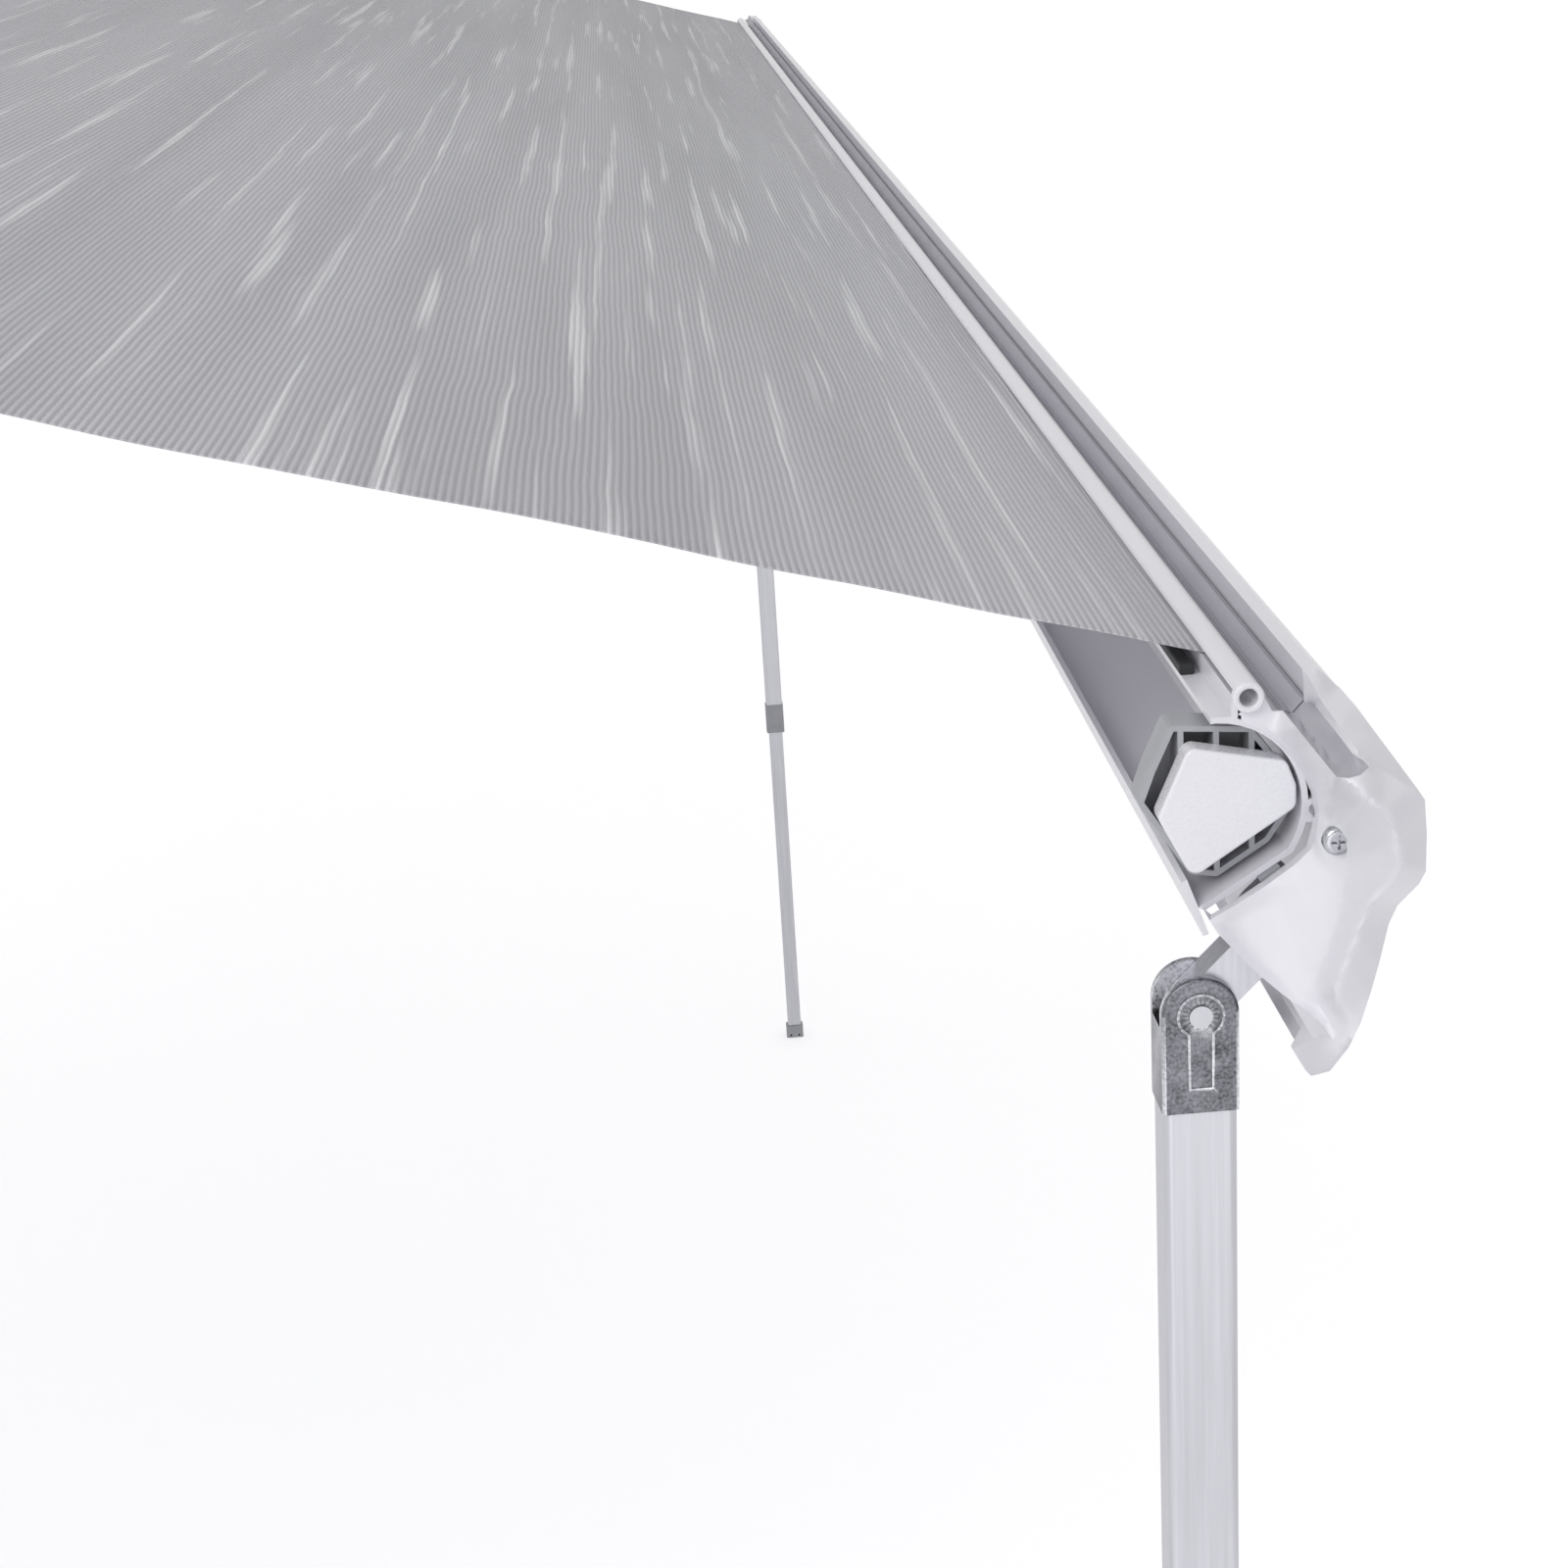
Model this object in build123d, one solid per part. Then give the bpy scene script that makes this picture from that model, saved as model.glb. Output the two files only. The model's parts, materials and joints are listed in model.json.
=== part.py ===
from build123d import *
import math
import os

# Roll-out awning with folding arms, shown open.
# Millimetres. +X runs along the wall, -Y points away from the wall and +Z is up.
# The origin is on the wall, behind the middle of the case, at the height of the roller.
# A section across the awning is drawn in (out, up): out is the distance from the wall.

# Overall sizes
arm_length = 1150.0
arm_middle_gap = 40.0
arm_inset = 560.0
case_inset = 45.0
fabric_inset = 5.0
open_angle = 80.0
fall_angle = 17.0

# Working gaps
running_clearance = 0.05
loose_clearance = 0.3
cut_overrun = 5.0
part_gap = 0.3
press_gap = 0.02

# Case: an extruded C-shaped profile on wall brackets
bracket_plate = 4.0
case_wall = 2.5
case_top = 50.0
case_back_low = 66.0
case_back_high = 38.0
case_chamfer = 9.0
case_top_reach = 60.0
case_top_lip = 3.5
case_floor_reach = 78.0
case_floor_drop = 26.0
case_floor_lip = 3.0
case_bend = 3.0

# Wall brackets
wall_bracket_count = 3
wall_bracket_offset = 110.0
wall_bracket_width = 70.0
wall_hole_spacing = 70.0
wall_hole_radius = 3.5
bracket_hook_reach = 22.0
bracket_hook_thickness = 3.0
bracket_foot_reach = 14.0
clamp_screw_radius = 3.0
clamp_screw_head_radius = 4.5
clamp_screw_head = 3.5
clamp_screw_length = 9.0
clamp_screw_inset = 8.0
clamp_screw_spacing = 44.0

# Roller and fabric
roller_out = 62.0
roller_radius = 24.0
roller_wall = 1.5
roll_thickness = 1.5
fabric_thickness = 0.8
plug_length = 34.0
journal_radius = 8.0
journal_reach = 10.0

# Case ends
end_plate_thickness = 3.0
end_cover_depth = 12.0
end_cover_wall = 2.0
end_disc_radius = 27.0
end_front_step = 14.0
cover_screw_radius = 2.5
cover_screw_head_radius = 4.5
cover_screw_head = 2.0

# Winch: a worm on a vertical shaft turns the wheel on the roller
wheel_radius = 20.0
wheel_width = 6.0
wheel_teeth = 24
wheel_tooth_depth = 2.4
worm_radius = 3.4
worm_core_radius = 2.8
worm_length = 22.0
worm_turns = 5
worm_ridge = 2.2
winch_shaft_radius = 2.4
worm_starts = 3
winch_shaft_low = 92.0
eye_radius = 11.0
eye_wire = 2.6
eye_collar_radius = 6.5
eye_collar = 6.0
housing_width = 7.6
housing_depth = 15.0
housing_height = 34.0
housing_low = 54.0

# Lead rail: the ring of the bead channel is the section's own zero
ring_radius = 5.5
bead_bore = 3.25
bead_radius = 2.9
bead_slot = 1.8
channel_radius = 31.0
channel_out = -12.0
channel_up = -40.0
rail_wall = 2.2
lip_out = -17.5
lip_up = -76.5
tip_out = 19.0
tip_up = -133.0
shelf_turn = -33.0
back_flange_out = -22.4
back_flange_up = -66.0
flange_foot_out = -14.8
flange_foot_up = -87.0
flange_width = 10.0
flange_up = -7.0
groove_floor = -8.0
rail_top = 8.0
boss_radius = 4.2
boss_bore = 2.0
gasket_width = 5.5
gasket_height = 4.0

# End cap of the rail: the end face sweeps outwards from the ring
cap_sweep = 1.2
cap_skin = 3.0
cap_margin = 1.2
cap_spigot = 12.0
cap_notch_out = 16.5
cap_notch_up = -110.0
cap_reach = 64.0
cap_panel_recess = 2.0
cap_rim = 5.0
cap_screw_out = 23.4
cap_screw_up = -43.0
pan_head_radius = 5.2
pan_head = 3.6
cap_screw_length = 38.0

# Guides in the channel at the rail's ends
guide_depth = 24.0
guide_wall = 2.0
guide_cover_depth = 9.0
guide_bend = 4.0

# Folding arms
tube_width = 18.0
tube_height = 28.0
tube_wall = 2.0
tube_corner = 3.0
tube_pitch = 21.0
wrist_out = 40.6
wrist_up = -47.0
joint_radius = 10.0
joint_height = 18.0
ear_thickness = 4.5
arm_pin_radius = 4.0
pin_head_radius = 6.5
pin_head = 2.0
block_start = 22.0
block_end = 34.0
spigot_length = 26.0
neck_start = 18.0
tongue_thickness = 8.0
wrist_ear = 4.4
spring_radius = 5.0
spring_length = 420.0
spring_start = 120.0
rod_radius = 1.5
bracket_width = 36.0
shoulder_plate = 1.8
shoulder_plate_width = 36.0
shoulder_plate_height = 46.0

# Legs: a stub swivels on the rail and carries the knuckle
leg_inset = 11.0
knuckle_out = -17.0
knuckle_up = -118.0
stub_angle = 45.0
stub_reach = 42.0
stub_width = 13.0
stub_thickness = 17.0
stub_wall = 3.0
swivel_eye_radius = 9.5
swivel_pin_radius = 3.5
carrier_ear = 3.4
carrier_ear_radius = 11.0
carrier_width = 21.0
carrier_base = 5.0
knuckle_width = 28.0
knuckle_thickness = 22.0
knuckle_radius = 14.0
knuckle_length = 38.0
knuckle_slot = 13.6
knuckle_pin_radius = 3.0
knuckle_pin_head = 4.2
knuckle_spigot = 40.0
leg_width = 27.0
leg_thickness = 20.0
leg_wall = 1.6
leg_corner = 3.0
leg_length = 1000.0
inner_gap = 0.6
inner_wall = 1.4
inner_length = 900.0
inner_shown = 560.0
collar_length = 46.0
collar_wall = 1.3
lever_length = 34.0
lever_thickness = 3.0
lever_width = 14.0
lever_pin_radius = 1.8
lever_ear = 2.4
lever_reach = 6.6
foot_width = 29.0
foot_depth = 20.0
foot_height = 22.0
foot_sole = 9.0
peg_hole_radius = 2.0
peg_hole_spacing = 14.0

# Directions in the fold plane, which falls away from the wall
fall = math.radians(fall_angle)
fall_cos, fall_sin = math.cos(fall), math.sin(fall)
along = Vector(1, 0, 0)
slope = Vector(0, -fall_cos, -fall_sin)
normal = Vector(0, -fall_sin, fall_cos)
open_rad = math.radians(open_angle)

# Places worked out from the sizes above
arm_x = arm_length + arm_middle_gap
rail_length = 2 * (arm_x + arm_inset)
case_length = rail_length - 2 * case_inset
fabric_width = case_length - 2 * fabric_inset
leg_x = rail_length / 2 - leg_inset
wall_bracket_spacing = arm_x + wall_bracket_offset
roller_up = 0.0
ring_closed_out = roller_out - channel_out
ring_closed_up = roller_up - channel_up
travel = 2 * arm_length * math.sin(open_rad) + tube_pitch * (math.cos(open_rad) - 1)
ring_out = ring_closed_out + travel * fall_cos
ring_up = ring_closed_up - travel * fall_sin
shoulder_out = wrist_out - tube_pitch * fall_cos
shoulder_up = wrist_up + tube_pitch * fall_sin
shoulder = Vector(-arm_x, -shoulder_out, shoulder_up)
wrist = Vector(-arm_x, -wrist_out, wrist_up) + slope * travel
upper_axis = along * math.cos(open_rad) + slope * math.sin(open_rad)
upper_side = slope * math.cos(open_rad) - along * math.sin(open_rad)
fore_axis = slope * math.sin(open_rad) - along * math.cos(open_rad)
elbow = shoulder + upper_axis * arm_length + upper_side * (tube_pitch / 2)
case_half = case_length / 2
rail_half = rail_length / 2
roller_half = fabric_width / 2
plate_outer = case_half + end_plate_thickness
cover_inner = plate_outer + part_gap
cover_outer = cover_inner + end_cover_depth
wheel_x = cover_inner + end_cover_wall / 2 + wheel_width / 2
worm_out = roller_out - wheel_radius - worm_radius - part_gap

upper_plane = Plane(origin=shoulder, x_dir=upper_axis, z_dir=-normal)
fore_plane = Plane(origin=elbow, x_dir=fore_axis, z_dir=normal)
shoulder_plane = Plane(origin=shoulder, x_dir=along, z_dir=-normal)
wrist_plane = Plane(origin=wrist, x_dir=along, z_dir=-normal)

# The swivel's pivot, in the rail's section
stub_rad = math.radians(stub_angle)
pivot_out = knuckle_out + stub_reach * math.cos(stub_rad)
pivot_up = knuckle_up + stub_reach * math.sin(stub_rad)
knuckle_centre = Vector(-leg_x, -(ring_out + knuckle_out), ring_up + knuckle_up)
pivot = Vector(-leg_x, -(ring_out + pivot_out), ring_up + pivot_up)
stub_dir = Vector(0, -math.cos(stub_rad), math.sin(stub_rad))
swivel_dir = Vector(0, -math.sin(stub_rad), -math.cos(stub_rad))
stub_plane = Plane(origin=pivot, x_dir=along, z_dir=swivel_dir)

nodes = {}


def section(x):
    """The plane across the awning at x, whose own axes are out and up."""
    return Plane(origin=(x, 0, 0), x_dir=(0, -1, 0), z_dir=(-1, 0, 0))


def prism(face, x_low, x_high):
    return extrude(section(x_high) * face, amount=x_high - x_low)


def at_ring(piece):
    """Moves a piece drawn about the ring to the rail's place."""
    return Pos(0, -ring_out, ring_up) * piece


def polygon(points):
    return make_face(Polyline(*points, close=True))


def rounded(face, radius):
    return fillet(face.vertices(), radius)


def disc(radius, out=0.0, up=0.0):
    return Pos(out, up) * Circle(radius)


def bar(width, height, low, high, across=0.0):
    """A straight bar along local X, centred on across and on the mid plane."""
    return Pos((low + high) / 2, across, 0) * Box(high - low, width, height)


def plate(face, low, high):
    """A flat face of the local XY plane, thickened from low to high."""
    return extrude(Pos(0, 0, low) * face, amount=high - low)


def both_sides(name, piece):
    nodes[name + "_left"] = piece
    nodes[name + "_right"] = piece.mirror(Plane.YZ)


def in_pairs(name, piece):
    nodes[name] = Compound(children=[piece, piece.mirror(Plane.YZ)])


# Case

def case_profile():
    back = bracket_plate + case_wall / 2
    path = FilletPolyline(
        (case_top_reach + case_top_lip, case_top - case_wall / 2 - case_top_lip),
        (case_top_reach, case_top - case_wall / 2),
        (back + case_chamfer, case_top - case_wall / 2),
        (back, case_back_high),
        (back, -case_back_low),
        (back + case_chamfer, -case_back_low - case_chamfer),
        (case_floor_reach, -case_back_low - case_floor_drop),
        (case_floor_reach + case_floor_lip, -case_back_low - case_floor_drop + case_floor_lip),
        radius=case_bend,
    )
    body = prism(trace(path, line_width=case_wall), -case_half, case_half)
    for x in bracket_places():
        for side in (-1, 1):
            for height in (case_back_high - clamp_screw_inset, -case_back_low + clamp_screw_inset):
                hole = Rot(90, 0, 0) * Cylinder(clamp_screw_radius, clamp_screw_length * 2)
                body -= Pos(x + side * clamp_screw_spacing / 2, -back, height) * hole
    return body


def bracket_places():
    start = -(wall_bracket_count - 1) * wall_bracket_spacing / 2
    return [start + i * wall_bracket_spacing for i in range(wall_bracket_count)]


def wall_brackets():
    """Plates on the wall with a hook over the case and a foot below it."""
    top = case_top + part_gap
    low = -case_back_low - case_chamfer - case_wall - part_gap
    hook = bracket_hook_thickness
    start = case_back_high + case_chamfer
    outline = polygon([
        (0, low - hook),
        (bracket_foot_reach, low - hook),
        (bracket_foot_reach, low),
        (bracket_plate - part_gap, low),
        (bracket_plate - part_gap, start),
        (bracket_plate + case_chamfer, top),
        (bracket_hook_reach, top),
        (bracket_hook_reach, top + hook),
        (0, top + hook),
    ])
    pieces = []
    for x in bracket_places():
        piece = prism(outline, x - wall_bracket_width / 2, x + wall_bracket_width / 2)
        for side in (-1, 1):
            hole = Rot(90, 0, 0) * Cylinder(wall_hole_radius, bracket_plate * 4)
            piece -= Pos(x, 0, side * wall_hole_spacing / 2) * hole
            for height in (case_back_high - clamp_screw_inset, -case_back_low + clamp_screw_inset):
                hole = Rot(90, 0, 0) * Cylinder(clamp_screw_radius, bracket_plate * 4)
                piece -= Pos(x + side * clamp_screw_spacing / 2, 0, height) * hole
        pieces.append(piece)
    return Compound(children=pieces)


def clamp_screws():
    """Screws from inside the case into each wall bracket."""
    inner = bracket_plate + case_wall
    pieces = []
    for x in bracket_places():
        for side in (-1, 1):
            for height in (case_back_high - clamp_screw_inset, -case_back_low + clamp_screw_inset):
                shank_radius = clamp_screw_radius - running_clearance
                shank = Pos(0, 0, -inner / 2) * Cylinder(shank_radius, inner)
                head = Pos(0, 0, clamp_screw_head / 2) * Cylinder(clamp_screw_head_radius,
                                                                 clamp_screw_head)
                head = fillet(head.edges().sort_by(Axis.Z)[-1], clamp_screw_head / 3)
                screw = Rot(90, 0, 0) * (head + shank)
                pieces.append(Pos(x + side * clamp_screw_spacing / 2, -inner, height) * screw)
    return Compound(children=pieces)


def end_outline(shrink=0.0):
    """The shape of the case's ends: it stays inside the closed rail's channel."""
    back = bracket_plate + shrink
    top = case_top - shrink
    low = -case_back_low - case_chamfer + shrink
    front = roller_out - end_front_step - shrink
    step = wrist_up - tube_height / 4
    body = polygon([
        (back, low + case_chamfer),
        (back, case_back_high),
        (back + case_chamfer, top),
        (case_top_reach - shrink, top),
        (case_top_reach + case_top_lip / 2 - shrink, top - case_wall - case_top_lip),
        (front, channel_radius / 2),
        (front, step),
        (front - case_chamfer, low - case_chamfer / 2),
        (back + case_chamfer, low),
    ])
    return rounded(body, case_bend / 3) + disc(end_disc_radius - shrink, roller_out, roller_up)


def end_plates():
    plate_face = end_outline() - disc(journal_radius + running_clearance, roller_out, roller_up)
    left = prism(plate_face, -plate_outer, -case_half)
    right = prism(plate_face, case_half, plate_outer)
    return Compound(children=[left, right])


def end_cover(with_shaft_hole):
    """A moulded cap over the end plate, drawn on the right."""
    shell = prism(end_outline(), cover_inner, cover_outer)
    inside = prism(end_outline(end_cover_wall), cover_inner - cut_overrun,
                   cover_outer - end_cover_wall)
    shell -= inside
    if with_shaft_hole:
        hole_radius = winch_shaft_radius + loose_clearance
        drop = Cylinder(hole_radius, housing_low)
        shell -= Pos(wheel_x, -worm_out, -housing_low - eye_collar) * drop
    return shell


def cover_screws():
    """Two pan screws hold each end cover."""
    pieces = []
    for side in (-1, 1):
        for out, up in ((shoulder_out, case_back_high - case_chamfer), (shoulder_out, wrist_up)):
            head = fillet(
                (Pos(0, 0, cover_screw_head / 2) * Cylinder(cover_screw_head_radius,
                                                           cover_screw_head)
                 ).edges().sort_by(Axis.Z)[-1], cover_screw_head / 3)
            screw = Rot(0, 90, 0) * head
            if side < 0:
                screw = Rot(0, 180, 0) * screw
            pieces.append(Pos(side * cover_outer, -out, up) * screw)
    return Compound(children=pieces)


# Roller, fabric roll and winch

def tube_along(radius, bore, x_low, x_high, out, up):
    ring = disc(radius, out, up) - disc(bore, out, up)
    return prism(ring, x_low, x_high)


def roller_tube():
    bore = roller_radius - roller_wall
    return tube_along(roller_radius, bore, -roller_half, roller_half, roller_out, roller_up)


def fabric_roll():
    outer = roller_radius + roll_thickness
    return tube_along(outer, roller_radius + press_gap, -roller_half, roller_half,
                      roller_out, roller_up)


def roller_plugs():
    """A plug in each end of the roller, with the journal it turns on."""
    pieces = []
    for side in (-1, 1):
        reach = journal_reach if side < 0 else wheel_x + wheel_width / 2 - roller_half
        inner = disc(roller_radius - roller_wall - press_gap, roller_out, roller_up)
        journal = disc(journal_radius, roller_out, roller_up)
        body = prism(inner, roller_half - plug_length, roller_half)
        body += prism(journal, roller_half, roller_half + reach)
        pieces.append(body if side > 0 else body.mirror(Plane.YZ))
    return Compound(children=pieces)


def worm_wheel():
    low = wheel_x - wheel_width / 2
    high = wheel_x + wheel_width / 2
    bore = disc(journal_radius + press_gap, roller_out, roller_up)
    wheel = prism(disc(wheel_radius, roller_out, roller_up) - bore, low, high)
    tooth_gap = math.pi * wheel_radius / wheel_teeth
    for i in range(wheel_teeth):
        turn = 360.0 * (i + 0.5) / wheel_teeth
        cut = Pos(0, 0, wheel_radius) * Box(wheel_width * 2, tooth_gap, wheel_tooth_depth * 2)
        wheel -= Pos(wheel_x, -roller_out, roller_up) * (Rot(turn, 0, 0) * cut)
    return wheel


def winch_worm():
    """The worm and its shaft, which reaches down through the end cover."""
    low = -winch_shaft_low
    shaft = Cylinder(winch_shaft_radius, winch_shaft_low - worm_length / 2)
    body = Pos(0, 0, (low - worm_length / 2) / 2) * shaft
    body += Cylinder(worm_core_radius, worm_length)
    step = worm_length / worm_turns
    for i in range(worm_turns):
        height = -worm_length / 2 + step * (i + 0.5)
        ridge = Cone(worm_radius, worm_core_radius, worm_ridge / 2)
        body += Pos(0, 0, height + worm_ridge / 4) * ridge
        body += Pos(0, 0, height - worm_ridge / 4) * (Rot(180, 0, 0) * ridge)
    return Pos(wheel_x, -worm_out, roller_up) * body


def winch_eye():
    """The eye for the crank, on the end of the worm's shaft."""
    collar = Pos(0, 0, eye_collar / 2) * Cylinder(eye_collar_radius, eye_collar * 2)
    collar -= Pos(0, 0, eye_collar) * Cylinder(winch_shaft_radius + press_gap, eye_collar * 2)
    ring = Rot(0, 90, 0) * Torus(eye_radius, eye_wire)
    body = collar + Pos(0, 0, -eye_radius - eye_collar / 2 - eye_wire / 2) * ring
    return Pos(wheel_x, -worm_out, -winch_shaft_low) * body


def winch_housing():
    """The bearing block of the worm's shaft."""
    block = Box(housing_width, housing_depth, housing_height)
    block = fillet(block.edges().filter_by(Axis.Z), case_bend / 2)
    block = Pos(0, 0, -housing_low + housing_height / 2) * block
    bore = Cylinder(winch_shaft_radius + running_clearance, housing_low * 3)
    return Pos(wheel_x, -worm_out, 0) * (block - bore)


# Lead rail

front_shares = [
    (24.0 / 43.0, 1.00), (31.0 / 43.0, 0.95), (38.0 / 43.0, 0.86), (1.00, 0.74),
    (1.00, 0.60), (38.5 / 43.0, 0.475), (36.0 / 43.0, 0.355), (31.0 / 43.0, 0.19),
    (24.5 / 43.0, 0.07), (19.0 / 43.0, 0.0),
]
rail_front = 43.0
roof_reach_share = 0.92
roof_turn_share = 0.34


def front_points(grow=0.0):
    """The outer face from the groove's edge down to the tip, as shares of reach and height."""
    low, high = tip_up - grow, rail_top + grow
    reach = rail_front + grow
    return [(share_out * reach, low + share_up * (high - low))
            for share_out, share_up in front_shares]


def channel_point(degrees, radius=channel_radius):
    turn = math.radians(degrees)
    return (channel_out + radius * math.cos(turn), channel_up + radius * math.sin(turn))


def rail_outline():
    groove_in = ring_radius
    flange_tip = flange_up - rail_wall
    start = channel_point(88.0)
    edges = [
        ThreePointArc(start, channel_point(30.0), channel_point(shelf_turn)),
        Polyline(
            channel_point(shelf_turn),
            (lip_out, lip_up),
            (lip_out + rail_wall, lip_up - rail_wall / 2),
            (tip_out - rail_wall, tip_up + rail_wall),
            (tip_out, tip_up - rail_wall / 4),
            *reversed(front_points()),
            (rail_front * 0.44, rail_top),
            (rail_front * 0.47, groove_floor * 0.4),
            (rail_front * 0.40, groove_floor * 0.85),
            (rail_front * 0.30, groove_floor),
            (rail_front * 0.20, groove_floor * 0.8),
            (groove_in, 0),
            (0, ring_radius / 2),
            (-ring_radius, 0),
            (-ring_radius, flange_up),
            (-flange_width - ring_radius / 2, flange_up),
            (-flange_width - ring_radius / 2, flange_tip),
            start,
        ),
    ]
    return make_face([edge for line in edges for edge in line.edges()])


def mouth_cut():
    """The open side of the leg chamber, between the lip and the tip."""
    run_out = tip_out - lip_out
    run_up = tip_up - lip_up
    span = math.hypot(run_out, run_up)
    unit = (run_out / span, run_up / span)
    inward = (-unit[1], unit[0])
    ends = (rail_wall, span - rail_wall * 1.2)
    deep = rail_wall * 1.6
    corners = []
    for step, side in ((ends[0], -1), (ends[1], -1), (ends[1], 1), (ends[0], 1)):
        corners.append((lip_out + unit[0] * step + inward[0] * side * deep,
                        lip_up + unit[1] * step + inward[1] * side * deep))
    return polygon(corners)


def chamber_roof():
    """The web that divides the leg chamber from the hollow above it."""
    left = channel_point(shelf_turn * roof_turn_share, channel_radius + rail_wall / 2)
    right = (rail_front * roof_reach_share, left[1] - rail_wall)
    return trace(Line(left, right), line_width=rail_wall)


def back_flange():
    """The flange across the lip, which carries the arm brackets."""
    return trace(Line(flange_foot, flange_end), line_width=rail_wall)


flange_foot = Vector(flange_foot_out, flange_foot_up)
flange_end = Vector(back_flange_out, back_flange_up)


def flange_back(share):
    """A point on the flange's side towards the wall, its share of the way up."""
    run = flange_end - flange_foot
    aside = run.normalized().rotate(Axis.Z, 90) * (rail_wall / 2 + press_gap)
    point = flange_foot + run * share + aside
    return (point.X, point.Y)


def rail_section():
    outline = rail_outline()
    inner = offset(outline, amount=-rail_wall)
    body = outline - inner + disc(ring_radius)
    body = body + chamber_roof()
    boss = disc(boss_radius, cap_screw_out, cap_screw_up) - disc(
        boss_bore, cap_screw_out, cap_screw_up)
    body = body - disc(boss_bore, cap_screw_out, cap_screw_up) + boss
    body -= mouth_cut()
    body = body + back_flange()
    body -= disc(bead_bore)
    slot_turn = 180.0 - fall_angle
    slot = Rot(0, 0, slot_turn) * (Pos(ring_radius, 0) * Rectangle(ring_radius * 2, bead_slot))
    return body - slot


def lead_rail():
    return at_ring(prism(rail_section(), -rail_half, rail_half))


def bead_rod():
    return at_ring(prism(disc(bead_radius), -fabric_width / 2, fabric_width / 2))


def rail_gasket():
    shape = Pos(-flange_width / 2 - ring_radius, flange_up + gasket_height / 2) * Rectangle(
        gasket_width, gasket_height)
    return at_ring(prism(rounded(shape, gasket_height / 4), -fabric_width / 2, fabric_width / 2))


# Rail end cap, drawn on the left

def cap_outline(grow):
    """The cap's face: ring, channel edge, shelf, mouth edge and the outer front."""
    edges = [
        ThreePointArc(channel_point(74.0), channel_point(20.0), channel_point(shelf_turn)),
        Polyline(
            channel_point(shelf_turn),
            (lip_out + rail_wall, lip_up + rail_wall),
            (lip_out + rail_wall * 1.5, lip_up - rail_wall * 2),
            (cap_notch_out, cap_notch_up),
            (tip_out - rail_wall, tip_up + rail_wall * 3),
            (tip_out, tip_up - grow),
            *reversed(front_points(grow)),
            (rail_front * 0.44, rail_top + grow),
            (rail_front * 0.47, groove_floor * 0.4),
            (rail_front * 0.40, groove_floor * 0.85),
            (rail_front * 0.30, groove_floor),
            (rail_front * 0.20, groove_floor * 0.8),
            (ring_radius, 0),
            (0, ring_radius / 2),
            (-ring_radius / 2, -ring_radius / 2),
            channel_point(74.0),
        ),
    ]
    return make_face([edge for line in edges for edge in line.edges()])


panel_shares = [(0.58, 0.15), (0.72, 0.24), (0.79, 0.43), (0.65, 0.53), (0.56, 0.60),
                (0.52, 0.79), (0.30, 0.745), (-0.16, 0.60)]
panel_turns = (-62.0, -40.0, -20.0, 0.0, 16.0)


def cap_panel():
    """The sunk panel between the channel's edge and the ridge along the front."""
    front = [(rail_front * a, tip_up * b) for a, b in panel_shares]
    back = [channel_point(turn, channel_radius + cap_rim) for turn in panel_turns]
    return polygon(front + back)


def beyond_sweep(offset_in):
    """The space beyond the swept end face, moved inwards by offset_in."""
    far = cap_reach * 4
    start = (-rail_half + offset_in, 0)
    points = [
        (start[0] + cap_sweep * far, far),
        (start[0] - cap_sweep * far, -far),
        (start[0] - cap_sweep * far - far, -far),
        (start[0] - cap_sweep * far - far, far),
    ]
    face = polygon(points)
    return extrude(Pos(0, 0, -far) * face, amount=far * 2)


def end_cap():
    body = prism(cap_outline(cap_margin), -rail_half - cap_reach, -rail_half)
    ring = prism(disc(ring_radius), -rail_half - cap_skin, -rail_half)
    body -= beyond_sweep(-cap_skin)
    hollow = offset(cap_outline(cap_margin), amount=-cap_skin)
    inside = prism(hollow, -rail_half - cap_reach * 2, -rail_half + cut_overrun)
    body -= inside - beyond_sweep(cap_skin / 2)
    recess = prism(cap_panel(), -rail_half - cap_reach * 2, -rail_half + cut_overrun)
    body -= recess & beyond_sweep(cap_panel_recess - cap_skin)
    boss_depth = -cap_sweep * cap_screw_out - cap_skin / 2
    boss = prism(disc(pan_head_radius, cap_screw_out, cap_screw_up), -rail_half + boss_depth,
                 -rail_half)
    seat = prism(disc(pan_head_radius + part_gap, cap_screw_out, cap_screw_up),
                 -rail_half - cap_reach * 2, -rail_half + boss_depth)
    body = body + boss + ring - seat
    hole = prism(disc(boss_bore, cap_screw_out, cap_screw_up), -rail_half - cap_reach, -rail_half)
    bore = prism(disc(bead_bore), -rail_half - cap_reach, -rail_half)
    return at_ring(body - hole - bore)


def cap_screws():
    """One cross-recess pan screw in each end cap."""
    pieces = []
    face = -rail_half - cap_sweep * cap_screw_out - cap_skin / 2
    head = fillet((Pos(0, 0, pan_head / 2) * Cylinder(pan_head_radius, pan_head)
                   ).edges().sort_by(Axis.Z)[-1], pan_head * 0.55)
    arm = Box(pan_head_radius, pan_head / 4, pan_head)
    head -= Pos(0, 0, pan_head) * arm
    head -= Pos(0, 0, pan_head) * (Rot(0, 0, 90) * arm)
    shank = Pos(0, 0, -cap_screw_length / 2) * Cylinder(boss_bore - running_clearance,
                                                       cap_screw_length)
    screw = Rot(0, -90, 0) * (head + shank)
    left = at_ring(Pos(face, -cap_screw_out, cap_screw_up) * screw)
    pieces.append(left)
    pieces.append(left.mirror(Plane.YZ))
    return Compound(children=pieces)


# Guides that centre the case when the awning closes, drawn on the left

def channel_fill(radius, shares):
    """A polygon in the channel, its corners as shares of the channel's radius."""
    return polygon([(channel_out + radius * a, channel_up + radius * b) for a, b in shares])


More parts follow.
